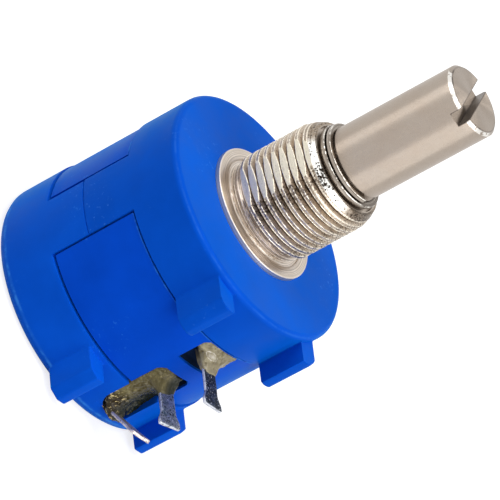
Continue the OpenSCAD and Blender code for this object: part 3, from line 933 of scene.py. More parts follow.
@dataclass
class EndCup:
    """One end shell: a cup with a skirt, two side tongues and a pair of feet.

    Depths are counted from the closed end inwards, and `outward` is +1 on the front cup and -1 on
    the rear one.
    """

    node: str
    outward: int
    skirt: float
    rim_round: float
    hole_r: float
    hole_depth: float
    notch_depth: float
    foot_start: float = 0.6
    foot_end: float = 4.9
    wall: float = 1.0
    end_wall: float = 1.6
    foot_inner: float = 4.6
    foot_outer: float = 6.3
    foot_chamfer: float = 0.75
    foot_round: float = 0.14
    seam_round: float = 0.09
    corner_round: float = 0.05
    lug_window: float = 77.0
    far_window: float = 74.0
    notch_half: float = 1.85

    def __post_init__(self) -> None:
        """Reads the overall sizes off the frame."""
        low, high = box_mm(self.node)
        self.radius = high.x
        self.inner_r = self.radius - self.wall
        self.sole = low.y
        self.end_z, self.seam_z = (high.z, low.z) if self.outward > 0 else (low.z, high.z)

    def height(self, depth: float) -> float:
        """Height of a depth below the closed end's face."""
        return self.end_z - self.outward * depth

    def section(self) -> Outline:
        """Half section of the cup."""
        turned = arc((self.radius - self.rim_round, self.rim_round), self.rim_round, -90.0, 0.0, 7)
        rim = [(radius, self.foot_start if abs(depth - self.foot_start) < 0.06 else depth)
               for radius, depth in turned]
        depths = [self.foot_end, self.skirt] if self.skirt > self.foot_end + 0.1 else [self.skirt]
        inside = [(self.inner_r, self.skirt), (self.inner_r, self.end_wall), (self.hole_r, self.end_wall)]
        if self.notch_depth > 0.0:
            depths.insert(0, self.notch_depth)
            inside.insert(1, (self.inner_r, self.notch_depth))
        start = (self.hole_r, 0.0)
        if self.hole_depth > 0.0:
            start = (0.0, 0.0)
            floor = self.end_wall - self.hole_depth
            inside += [(self.hole_r, floor), (0.0, floor)]
        wall = [(self.radius, depth) for depth in depths]
        return [(radius, self.height(depth)) for radius, depth in [start, *rim, *wall, *inside]]

    def build(self, material: Material) -> Object:
        """Models the cup and dresses it."""
        form = Form("moulded_" + self.node)
        form.outline(self.section())
        edges = (self.notch_half, self.foot_inner, self.foot_outer - self.foot_chamfer, self.foot_outer)
        half = [turn_at(x, self.radius) for x in edges]
        form.spin(mirrored([*half, self.lug_window, 180.0 - self.far_window]), 2.0)
        self._grow_tongues(form)
        self._grow_feet(form)
        if self.notch_depth > 0.0:
            self._cut_notch(form)
        form.bevel(self.foot_round, self._near_foot)
        form.bevel(self.seam_round, lambda point: abs(point.z - self.seam_z) < WELD
                   and radius_of(point) > self.radius - 0.1)
        form.bevel(self.corner_round, lambda point: radius_of(point) > self.hole_r + 1.2
                   and not self._near_foot(point) and abs(point.z - self.seam_z) > 0.2)
        return form.finish(material, Body.HOUSING, Slot.PLASTIC, [self.node])

    def _near_foot(self, point: Vector) -> bool:
        """Whether a point lies on a foot or its root."""
        return (radius_of(point) > self.radius - 0.06 and point.y < 0
                and self.foot_inner - 0.05 < abs(point.x) < self.foot_outer + 0.05
                and 0.5 * self.foot_start < abs(point.z - self.end_z) < self.foot_end + 0.2)

    def _grow_tongues(self, form: Form) -> None:
        """Draws the skirt's rim out to the seam on both sides."""
        rim_z = self.height(self.skirt)
        rim = form.faces(lambda point: abs(point.z - rim_z) < WELD
                         and self.lug_window < abs(turn_of(point)) < 180.0 - self.far_window)
        for vert in form.extrude(rim):
            vert.co.z = self.seam_z

    def _grow_feet(self, form: Form) -> None:
        """Draws two patches of the skirt down to flat soles with a chamfered outer corner."""
        inner, outer = turn_at(self.foot_inner, self.radius), turn_at(self.foot_outer, self.radius)
        low, high = sorted((self.height(self.foot_start), self.height(self.foot_end)))
        patch = form.faces(lambda point: radius_of(point) > self.radius - 0.1
                           and inner < abs(turn_of(point)) < outer and low - 0.1 < point.z < high)
        for vert in form.extrude(patch):
            vert.co.x = self.radius * math.sin(math.radians(turn_of(vert.co)))
            vert.co.y = self.sole + max(0.0, abs(vert.co.x) - self.foot_outer + self.foot_chamfer)

    def _cut_notch(self, form: Form) -> None:
        """Opens the wall around the sealed terminals."""
        half_turn = turn_at(self.notch_half, self.radius)
        for vert in form.bm.verts:
            if (abs(abs(turn_of(vert.co)) - half_turn) < 0.1
                    and abs(radius_of(vert.co) - self.inner_r) < WELD):
                side = math.copysign(self.notch_half, vert.co.x)
                place(vert.co, self.inner_r, turn_at(side, self.inner_r))
        low, high = sorted((self.height(self.notch_depth), self.height(self.skirt)))
        form.open_through(lambda point: radius_of(point) > self.inner_r - 0.1 and point.y < 0
                          and abs(point.x) < self.notch_half and low < point.z < high + WELD)


@dataclass
class CoilHousing:
    """The tube that carries the element, with raised panels that show between the shells."""

    node: str = "coil_housing"
    tube_r: float = 10.05
    bore_r: float = 9.0
    panel_r: float = 10.97
    panel_z: Pair = (-13.65, -5.60)
    panel_round: float = 0.06
    lug_panel: float = 76.0
    far_panel: float = 72.0
    pocket_half: float = 1.85
    pockets_z: tuple[Pair, ...] = ((-8.85, -5.65), (-17.35, -10.40))

    def build(self, material: Material) -> Object:
        """Models the housing and dresses it."""
        low, high = box_mm(self.node)
        heights = [high.z, low.z, *self.panel_z, *(end for pocket in self.pockets_z for end in pocket)]
        form = Form("moulded_coil_housing")
        form.outline([(self.tube_r, height) for height in sorted(heights, reverse=True)]
                     + [(self.bore_r, low.z), (self.bore_r, high.z)])
        pocket = turn_at(self.pocket_half, self.tube_r)
        form.spin(mirrored([pocket, self.lug_panel, 180.0 - self.far_panel]), 2.0)
        raised = form.faces(lambda point: self._on_panel(point) and not self._in_pocket(point, pocket))
        for vert in form.extrude(raised):
            turn = turn_of(vert.co)
            if abs(abs(turn) - pocket) < 0.1:
                turn = math.copysign(turn_at(self.pocket_half, self.panel_r), turn)
            place(vert.co, self.panel_r, turn)
        form.bevel(self.panel_round, lambda point: radius_of(point) > self.panel_r - 0.05)
        return form.finish(material, Body.HOUSING, Slot.PLASTIC, [self.node])

    def _on_panel(self, point: Vector) -> bool:
        """Whether a point of the tube's outside lies under one of the two panels."""
        turn = abs(turn_of(point))
        return (radius_of(point) > self.tube_r - 0.1 and self.panel_z[0] < point.z < self.panel_z[1]
                and (turn < self.lug_panel or turn > 180.0 - self.far_panel))

    def _in_pocket(self, point: Vector, half_turn: float) -> bool:
        """Whether a point lies in one of the sealed pockets."""
        return abs(turn_of(point)) < half_turn and any(
            low < point.z < high for low, high in self.pockets_z)


# ---- the metalwork ----


@dataclass
class Bushing:
    """The threaded bushing: flange, relief groove, neck, thread with a flat, and end chamfer."""

    node: str = "bushing"
    bore_r: float = 3.215
    inner_flange: float = 0.55
    inner_flange_z: float = -2.05
    neck_r: float = 4.4525
    neck_l: float = 0.85
    neck_ridges: tuple[float, ...] = (0.14, 0.40, 0.70)
    ridge: float = 0.10
    seat_r: float = 4.86
    relief: float = 0.1
    rim_round: float = 0.07
    thread_r: float = 4.7625
    chamfer_start: float = 7.8
    taper_start: float = 6.9
    taper: float = 0.30
    pitch: float = 0.794
    lead: float = 0.09
    thread_depth: float = 0.46
    crest_share: float = 0.38
    root_share: float = 0.03
    burr: float = 0.022
    burr_sharp: float = 7.0
    counterbore_r: float = 3.89
    counterbore_z: float = 8.0
    end_face: float = 0.3
    flat_reach: float = 4.3925
    flat_turn: float = 186.0
    rows: int = 240
    columns: int = 220
    wobble: float = 0.012

    def build(self, material: Material) -> Object:
        """Models the bushing and dresses it."""
        low, high = box_mm(self.node)
        self.end_z = high.z
        self.end_r = self.counterbore_r + self.end_face
        flange_low = box_mm("front_shell")[1].z
        back_r = self.neck_r + self.inner_flange
        groove_z = -self.relief
        form = Form("turned_bushing")
        form.outline([
            (self.bore_r, low.z), (back_r - 0.05, low.z), (back_r, low.z + 0.05),
            (back_r, self.inner_flange_z), (self.neck_r, self.inner_flange_z),
            (self.neck_r, flange_low), (high.x, flange_low),
            *arc((high.x - self.rim_round, -self.rim_round), self.rim_round, 0.0, 90.0, 3),
            (self.seat_r + 0.02, 0.0), (self.seat_r, -0.02), (self.seat_r - 0.03, groove_z),
            (self.neck_r + 0.16, groove_z), (self.neck_r + 0.05, groove_z + 0.05),
            (self.neck_r, groove_z + 0.16), *self._ridge_outline(),
            (self.neck_r, self.neck_l), (self.end_r, self.end_z),
            (self.counterbore_r, self.end_z), (self.counterbore_r, self.counterbore_z),
            (self.bore_r, self.counterbore_z)])
        form.split_edge(self.neck_l, self.end_z, self.rows)
        form.spin([0.0, 360.0], 360.0 / self.columns)
        for vert in form.bm.verts:
            if radius_of(vert.co) > self.end_r - WELD and vert.co.z > self.neck_l - WELD:
                self._cut_thread(vert.co)
        return form.finish(material, Body.HOUSING, Slot.BUSHING, [self.node], crease=50.0, weighted=False)

    def _ridge_outline(self) -> Outline:
        """Fine ridges that the cutter left on the neck."""
        crest_r = self.neck_r + self.ridge
        return [(radius, height + shift) for height in self.neck_ridges for radius, shift in (
            (self.neck_r, -0.07), (crest_r, -0.02), (crest_r, 0.02), (self.neck_r, 0.07))]

    def _cut_thread(self, point: Vector) -> None:
        """Moves a point of the blank onto the thread, inside the chamfers and behind the flat."""
        turn = turn_of(point)
        phase = ((point.z + self.lead) / self.pitch - turn / 360.0) % 1.0
        rise = abs(phase - 0.5) * 2.0
        flank = (rise - self.root_share) / (1.0 - self.root_share - self.crest_share)
        from_burr = abs(rise - 1.0 + 0.9 * self.crest_share)
        cut = (self.thread_depth * clamped(1.0 - flank)
               - self.burr * max(0.0, 1.0 - from_burr * self.burr_sharp))
        shake = self.wobble * noise.noise(Vector((point.x * 2.1, point.y * 2.1, point.z * 3.7)))
        lead_in = self.neck_r + max(0.0, point.z - self.neck_l)
        taper_end = self.thread_r - self.taper * (self.chamfer_start - self.taper_start)
        slope = (taper_end - self.end_r) / (self.end_z - self.chamfer_start)
        chamfer = self.end_r + (self.end_z - point.z) * slope
        worn = self.thread_r - self.taper * (point.z - self.taper_start)
        place(point, min(self.thread_r - self.burr - cut + shake, lead_in, chamfer, worn, self.thread_r),
              turn)
        facing = math.radians(self.flat_turn)
        normal = Vector((math.cos(facing), math.sin(facing), 0.0))
        excess = point.dot(normal) - self.flat_reach
        if excess > 0.0 and point.z > self.neck_l + WELD:
            point -= normal * excess


@dataclass
class Shaft:
    """The slotted shaft with its grooves and rear journal."""

    node: str = "shaft"
    shaft_r: float = 3.175
    journal_r: float = 2.0
    journal_chamfer: float = 0.15
    hub_rear: float = -16.65
    seal_z: Pair = (1.375, 2.025)
    seal_r: float = 2.625
    groove_z: Pair = (8.95, 9.55)
    groove_r: float = 2.85
    groove_chamfer: float = 0.06
    chamfer: float = 0.27
    slot_w: float = 1.15
    slot_depth: float = 1.05
    slot_turn: float = 55.0
    slot_round: float = 0.05

    def build(self, material: Material) -> Object:
        """Models the shaft and dresses it."""
        low, high = box_mm(self.node)
        tip = high.z
        full_r, cut = self.shaft_r, self.groove_chamfer
        (seal_low, seal_high), (groove_low, groove_high) = self.seal_z, self.groove_z
        form = Form("slotted_shaft")
        form.outline([
            (0.0, low.z), (self.journal_r - self.journal_chamfer, low.z),
            (self.journal_r, low.z + self.journal_chamfer), (self.journal_r, self.hub_rear),
            (full_r, self.hub_rear), (full_r, seal_low), (self.seal_r, seal_low),
            (self.seal_r, seal_high), (full_r, seal_high), (full_r, groove_low),
            (self.groove_r, groove_low), (self.groove_r, groove_high), (full_r - cut, groove_high),
            (full_r, groove_high + cut), (full_r, tip - self.chamfer),
            (full_r - self.chamfer, tip), (0.0, tip)])
        form.spin([0.0, 360.0], 2.5)
        floor = tip - self.slot_depth
        self._cut_slot(form, floor)
        form.bevel(self.slot_round, lambda point: point.z > floor - WELD, angle=20.0)
        return form.finish(material, Body.ROTOR, Slot.SHAFT, [self.node])

    def _cut_slot(self, form: Form, floor: float) -> None:
        """Takes the slot's band out of the tip and closes its walls and floor."""
        facing = math.radians(self.slot_turn)
        across = Vector((-math.sin(facing), math.cos(facing), 0.0))
        half = self.slot_w / 2.0
        for point, normal in ((across * half, across), (-across * half, across),
                              (Vector((0, 0, floor)), Vector((0, 0, 1)))):
            upper = [face for face in form.bm.faces if max(v.co.z for v in face.verts) > floor]
            geom = {*upper, *(e for f in upper for e in f.edges), *(v for f in upper for v in f.verts)}
            bmesh.ops.bisect_plane(form.bm, geom=list(geom), plane_co=point, plane_no=normal, dist=WELD)
        band = form.faces(lambda point: point.z > floor + WELD and abs(point.dot(across)) < half)
        bmesh.ops.delete(form.bm, geom=band, context="FACES")
        rim = form.open_edges()
        corners = [vert for vert in {v for e in rim for v in e.verts} if abs(vert.co.z - floor) < WELD
                   and abs(abs(vert.co.dot(across)) - half) < 10 * WELD]
        arcs = [edge for edge in rim if all(abs(v.co.z - floor) < WELD for v in edge.verts)]
        for side in (-1, 1):
            chord = form.bm.edges.new([vert for vert in corners if vert.co.dot(across) * side > 0])
            wall = [edge for edge in rim if edge not in arcs
                    and all(v.co.dot(across) * side > 0 for v in edge.verts)]
            form.fill([chord, *wall])
            arcs.append(chord)
        form.fill(arcs)
        form.tidy()


@dataclass
class ShaftRings:
    """The thrust washer and the open retaining ring in front of the bushing."""

    washer: tuple[float, float, float, float] = (3.2, 3.73, 8.05, 8.92)
    washer_foot: Pair = (3.52, 8.47)
    washer_round: float = 0.07
    clip: tuple[float, float, float, float] = (2.875, 3.60, 9.0, 9.42)
    clip_turn: float = 318.0
    clip_open: float = 38.0
    clip_round: float = 0.08

    def build(self, steel: Material) -> None:
        """Models both rings and dresses them."""
        inner, outer, low, high = self.washer
        foot_r, foot_z = self.washer_foot
        washer = Form("turned_thrust_washer")
        washer.outline([(inner, low), (foot_r, low), (foot_r, foot_z - 0.1), (outer, foot_z + 0.06),
                        (outer, high), (inner, high)])
        washer.spin([0.0, 360.0], 3.0)
        washer.bevel(self.washer_round, lambda point: point.z > foot_z, angle=30.0, segments=3)
        inner, outer, low, high = self.clip
        clip = Form("stamped_retaining_ring")
        clip.outline([(inner, low), (outer, low), (outer, high), (inner, high)])
        clip.fill(list(clip.bm.edges))
        clip.rotate(self.clip_turn + self.clip_open + 90.0, "Z")
        clip.sweep([*clip.bm.verts, *clip.bm.edges, *clip.bm.faces], 360.0 - 2.0 * self.clip_open, 96)
        clip.tidy()
        clip.bevel(self.clip_round, angle=40.0, segments=3)
        for form, node in ((washer, "thrust_washer"), (clip, "retaining_ring")):
            form.finish(steel, Body.ROTOR, Slot.RING, [node])


@dataclass
class SolderLug:
    """One stamped lug: a blade that flares into a wide head.

    The blade is modelled flat, hanging from y = 0 with its back on z = 0, and then turned into place.
    """

    LIT_SIDES: ClassVar[str] = "painted_side_highlight"

    node: str
    length: float
    straight: float = 0.0
    bend: float = 0.0
    bend_r: float = 1.9
    turn: float = 0.0
    width: float = 1.45
    thickness: float = 0.3
    head_w: float = 2.15
    head_h: float = 0.7
    flare: float = 0.75
    edge_round: float = 0.05
    rough: float = 0.035
    seed: float = 0.0
    columns: int = 8
    rows: int = 40

    def build(self, root: Vector, material: Material) -> Object:
        """Models the lug from its root and dresses it.

        Args:
            root: middle of the back of the blade's hidden end.
            material: the lug's finish.

        Returns:
            The finished lug.
        """
        form = Form("stamped_" + self.node)
        bmesh.ops.create_grid(form.bm, x_segments=self.columns, y_segments=self.rows, size=0.5)
        for vert in form.bm.verts:
            down = (0.5 - vert.co.y) * self.length
            vert.co = Vector((vert.co.x * self._width_at(down), -down, 0.0))
        for vert in form.extrude(list(form.bm.faces)):
            vert.co.z += self.thickness
        form.fill(form.open_edges())
        form.tidy()
        form.bevel(self.edge_round, angle=50.0)
        # Marks the side faces, which the finish paints with a highlight.
        lit_sides = form.bm.verts.layers.float.new(self.LIT_SIDES)
        for vert in form.bm.verts:
            vert[lit_sides] = float(0.02 < vert.co.z < self.thickness - 0.02)
            self._dent(vert.co)
            self._bend(vert.co)
        form.rotate(-self.turn, "Y")
        bmesh.ops.translate(form.bm, verts=list(form.bm.verts), vec=root)
        return form.finish(material, Body.HOUSING, Slot.LUG, [self.node], crease=60.0)

    def _width_at(self, down: float) -> float:
        """Width of the blade at a distance from its root."""
        start = self.length - self.head_h - self.flare
        share = ramp(down, start, self.length - self.head_h * 0.55)
        taper = 0.06 * ramp(down, self.length - 0.25, self.length)
        return self.width + (self.head_w - self.width) * share - taper

    def _dent(self, point: Vector) -> None:
        """Makes the stamped faces slightly uneven."""
        spot = Vector((point.x * 1.3, point.y * 0.9 + self.seed, point.z * 1.3))
        point.z += self.rough * noise.noise(spot)
        point.x += self.rough * 0.8 * noise.noise(spot + Vector((7.0, 3.0, 1.0)))

    def _bend(self, point: Vector) -> None:
        """Bends what lies past the straight root towards the front."""
        past = -point.y - self.straight
        if self.bend <= 0.0 or past <= 0.0:
            return
        arc_l = math.radians(self.bend) * (self.bend_r - self.thickness / 2.0)
        angle = math.radians(self.bend) * min(1.0, past / arc_l)
        rest = max(0.0, past - arc_l)
        lever = self.bend_r - point.z
        point.y = -self.straight - lever * math.sin(angle) - rest * math.cos(angle)
        point.z = self.bend_r - lever * math.cos(angle) + rest * math.sin(angle)


# ---- sealing resin ----


@dataclass
class SealedPocket:
    """Resin poured into a pocket of the tube and drawn up around the lugs in it.

    Each lug is given as the x and height of its middle and how far the resin climbs it. The shore is
    the outline of x and height that the resin reached; beyond it only a shallow sheet of painted shade
    covers the tube and climbs the pocket's walls. A bubble is the x and height of its middle and half
    its extent along each. The sag is how deep the resin sinks, the height where it sinks most and the x
    over which the sinking grows.
    """

    SHADE_FILM: ClassVar[str] = "painted_shade_sheet"
    BUBBLE: ClassVar[str] = "bubble"

    name: str
    node: str
    low: float
    high: float
    lugs: list[tuple[float, float, float]]
    shore: Outline
    level: float = 0.95
    sag: tuple[float, float, float, float] = (0.0, 0.0, 0.0, 1.0)
    sag_spread: float = 1.9
    half_w: float = 1.85
    floor_r: float = 10.06
    shade_film: float = 0.06
    shade_film_climb: float = 0.62
    shoulder: float = 0.4
    ragged: float = 0.28
    crinkle: float = 0.10
    waves: float = 1.6
    seed: float = 0.0
    lug_half: float = 0.70
    lug_deep: float = 0.17
    climb_spread: float = 0.42
    climb_power: float = 1.3
    cell: float = 0.055
    bubble: tuple[float, float, float, float] | None = None
    bubble_rise: float = 0.10

    def build(self, material: Material) -> Object:
        """Models the resin and dresses it."""
        form = Form(self.name)
        for layer in (self.SHADE_FILM, self.BUBBLE):
            form.bm.verts.layers.float.new(layer)
        shade_film, bubble = (form.bm.verts.layers.float[layer] for layer in (self.SHADE_FILM, self.BUBBLE))
        middle = (self.low + self.high) / 2.0
        depth = self.high - self.low
        bmesh.ops.create_grid(
            form.bm, x_segments=round(2 * self.half_w / self.cell),
            y_segments=round(depth / self.cell), size=0.5)
        for vert in form.bm.verts:
            vert.co = Vector((vert.co.x * 2 * self.half_w, -self.floor_r, middle + vert.co.y * depth))
        floor = list(form.bm.verts)
        top = form.extrude(list(form.bm.faces))
        for vert in top:
            x, z = vert.co.x, vert.co.z
            reach = self._reach(x, z)
            # Marks the sheet beyond the shore, which the finish paints dark as painted shade.
            vert[shade_film] = 1.0 - ramp(reach, -0.05, 0.10)
            vert[bubble] = self._in_bubble(x, z)
            lay(vert.co, self.floor_r + self._rise(x, z, reach))
        for vert in floor:
            if vert.is_valid and vert not in top:
                lay(vert.co, self.floor_r)
        form.fill(form.open_edges())
        return form.finish(material, Body.HOUSING, Slot.RESIN, [self.node], crease=70.0, weighted=False)

    def _from_shore(self, x: float, z: float) -> float:
        """Distance of a place from the shore, positive where resin stands."""
        nearest = math.inf
        inside = False
        for (x0, z0), (x1, z1) in zip(self.shore, self.shore[1:] + self.shore[:1]):
            run, climb = x1 - x0, z1 - z0
            share = clamped(((x - x0) * run + (z - z0) * climb) / (run * run + climb * climb))
            nearest = min(nearest, math.hypot(x - x0 - share * run, z - z0 - share * climb))
            if (z0 > z) != (z1 > z) and x < x0 + (z - z0) / climb * run:
                inside = not inside
        return nearest if inside else -nearest

    def _spot(self, x: float, z: float) -> Vector:
        """Where a place reads its noise."""
        return Vector((x * self.waves, z * self.waves, self.seed))

    def _reach(self, x: float, z: float) -> float:
        """Distance from the ragged shore, positive where resin stands."""
        spot = self._spot(x, z)
        return (self._from_shore(x, z) + self.ragged * noise.noise(spot * 1.9)
                + 0.35 * self.ragged * noise.noise(spot * 6.0))

    def _in_bubble(self, x: float, z: float) -> float:
        """How far a place is inside the bubble: 1 at its middle, 0 at its edge and beyond."""
        if self.bubble is None:
            return 0.0
        middle_x, middle_z, half_x, half_z = self.bubble
        return max(0.0, 1.0 - math.hypot((x - middle_x) / half_x, (z - middle_z) / half_z))

    def _rise(self, x: float, z: float, reach: float) -> float:
        """Height of the resin above the tube."""
        wall = min(self.half_w - abs(x), self.high - z, z - self.low)
        if reach < 0.0:
            # Beyond the shore the sheet of painted shade climbs the pocket's walls to cover them.
            return self.shade_film + self.shade_film_climb * ramp(wall, 0.16, 0.0)
        spot = self._spot(x, z)
        depth, sag_z, from_x, to_x = self.sag
        sunk = ramp(x, from_x, to_x) * math.exp(-(((z - sag_z) / self.sag_spread) ** 2))
        rise = self.level - depth * sunk
        for middle_x, middle_z, climb in self.lugs:
            gap = math.hypot(max(0.0, abs(x - middle_x) - self.lug_half),
                             max(0.0, abs(z - middle_z) - self.lug_deep))
            rise += climb * math.exp(-((gap / self.climb_spread) ** self.climb_power))
        rise += self.crinkle * noise.fractal(spot, 1.0, 2.0, 3)
        rise += self.crinkle * 0.6 * noise.noise(spot * 3.1)
        rise += self.bubble_rise * math.sqrt(1.0 - (1.0 - self._in_bubble(x, z)) ** 2)
        swell = math.sqrt(1.0 - (1.0 - clamped(reach / self.shoulder)) ** 2)
        return max(self.shade_film, rise * swell) * ramp(wall + 0.2, -0.1, 0.2)


@dataclass
class PocketCorners:
    """Rounded inner corners of the pockets' openings, each a wedge between two walls.

    A corner is given as its x and height, and how far its rounding reaches along each.
    """

    name: str
    nodes: list[str]
    inner_r: float
    outer_r: float
    corners: list[tuple[float, float, float, float]]
    steps: int = 6

    def build(self, material: Material) -> Object:
        """Models the wedges and dresses them."""
        form = Form(self.name)
        for x, z, reach_x, reach_z in self.corners:
            angles = [math.radians(90.0 / self.steps * step) for step in range(self.steps + 1)]
            rounded = [(x + reach_x * (1.0 - math.sin(angle)), z + reach_z * (1.0 - math.cos(angle)))
                       for angle in angles]
            form.fill(form.loop((px, -self.inner_r, pz) for px, pz in [(x, z), *rounded]))
        base = list(form.bm.verts)
        top = form.extrude(list(form.bm.faces))
        for vert in top:
            lay(vert.co, self.outer_r)
        for vert in base:
            if vert.is_valid and vert not in top:
                lay(vert.co, self.inner_r)
        for rim in self._open_rims(form):
            form.fill(rim)
        return form.finish(material, Body.HOUSING, Slot.PLASTIC, self.nodes)

    @staticmethod
    def _open_rims(form: Form) -> list[list[BMEdge]]:
        """Open edges of each wedge."""
        left = set(form.open_edges())
        rims = []
        while left:
            rim = [left.pop()]
            for edge in rim:
                joined = {other for vert in edge.verts for other in vert.link_edges} & left
                left -= joined
                rim.extend(joined)
            rims.append(rim)
        return rims


# ---- the stage ----


@dataclass(frozen=True)
class Lamp:
    """A soft rectangular lamp that faces the part, placed and sized in metres."""

    name: str
    place_at: tuple[float, float, float]
    width: float
    height: float
    power: float

    def build(self) -> None:
        """Hangs the lamp."""
        light = bpy.data.lights.new(self.name, "AREA")
        light.shape = "RECTANGLE"
        light.size = self.width
        light.size_y = self.height
        light.energy = self.power
        lamp = put(self.name, light)
        lamp.location = self.place_at
        lamp.rotation_euler = (-Vector(self.place_at)).to_track_quat("-Z", "Y").to_euler()


@dataclass
class Stage:
    """Camera, lamps, world and floor."""

    eye: Vector = Vector((-269.956, -238.837, 172.987))
    target: Vector = Vector((0.570, -2.289, -2.210))
    roll: float = 61.67
    lens: float = 352.594
    lamps: tuple[Lamp, ...] = (
        Lamp("top", (-0.05, -0.04, 0.50), 0.30, 0.30, 1.00),
        Lamp("far side", (-0.324, 0.165, 0.21), 0.20, 0.40, 0.72),
        Lamp("lug side", (0.070, -0.357, 0.19), 0.44, 0.38, 1.25))
    world_level: float = 0.28
    floor_albedo: float = 0.45
    floor_glow: float = 0.76
    floor_gap: float = 0.05
    floor_size: float = 3.0

    def build(self) -> None:
        """Sets up everything around the part."""
        self._camera()
        self._world()
        self._floor()
        for lamp in self.lamps:
            lamp.build()
        bpy.context.scene.view_settings.view_transform = "Standard"

    def _camera(self) -> None:
        """Looks at the part from its near side, with the shaft rising to the right."""
        camera = bpy.data.cameras.new("camera")
        camera.lens = self.lens
        camera.sensor_width = 36.0
        camera.clip_start = 0.01
        aim = (self.target - self.eye).to_track_quat("-Z", "Y").to_matrix().to_4x4()
        seat = put("camera", camera)
        seat.matrix_world = (Matrix.Translation(self.eye * MM) @ aim
                             @ Matrix.Rotation(math.radians(self.roll), 4, "Z"))
        bpy.context.scene.camera = seat

    @staticmethod
    def _seen_directly(board: Board) -> Socket:
        """Share that is 1 for rays from the camera, off metal or through glass."""
        path = board.add("LightPath")
        seen = board.maths("MAXIMUM", path.outputs["Is Camera Ray"], path.outputs["Is Transmission Ray"])
        return board.maths("MAXIMUM", seen, path.outputs["Is Glossy Ray"])

    def _world(self) -> None:
        """White surroundings that light the part at a plain level."""
        world = bpy.data.worlds.new("studio")
        board = Board.emptied(world)
        strength = board.plus(board.times(self._seen_directly(board), 1.0 - self.world_level),
                              self.world_level)
        light = board.add("Background", {"Color": (1.0, 1.0, 1.0), "Strength": strength})
        board.add("OutputWorld", {"Surface": light.outputs[0]})
        bpy.context.scene.world = world

    def _floor(self) -> None:
        """Pale floor under the rear face, which keeps the part's shadow."""
        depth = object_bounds()[0][2] - self.floor_gap * MM
        sheet = bmesh.new()
        bmesh.ops.create_grid(sheet, x_segments=1, y_segments=1, size=self.floor_size / 2.0)
        bmesh.ops.translate(sheet, verts=list(sheet.verts), vec=(0, 0, depth))
        mesh = bpy.data.meshes.new("floor")
        sheet.to_mesh(mesh)
        sheet.free()
        material = bpy.data.materials.new("pale floor")
        board = Board.emptied(material)
        matte = board.add("BsdfDiffuse", {"Color": (self.floor_albedo,) * 3})
        strength = board.times(self._seen_directly(board), self.floor_glow)
        glow = board.add("Emission", {"Color": (1.0, 1.0, 1.0), "Strength": strength})
        both = board.add("AddShader", {0: matte.outputs[0], 1: glow.outputs[0]})
        board.add("OutputMaterial", {"Surface": both.outputs[0]})
        mesh.materials.append(material)
        put("floor", mesh)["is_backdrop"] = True


# ---- the whole part ----


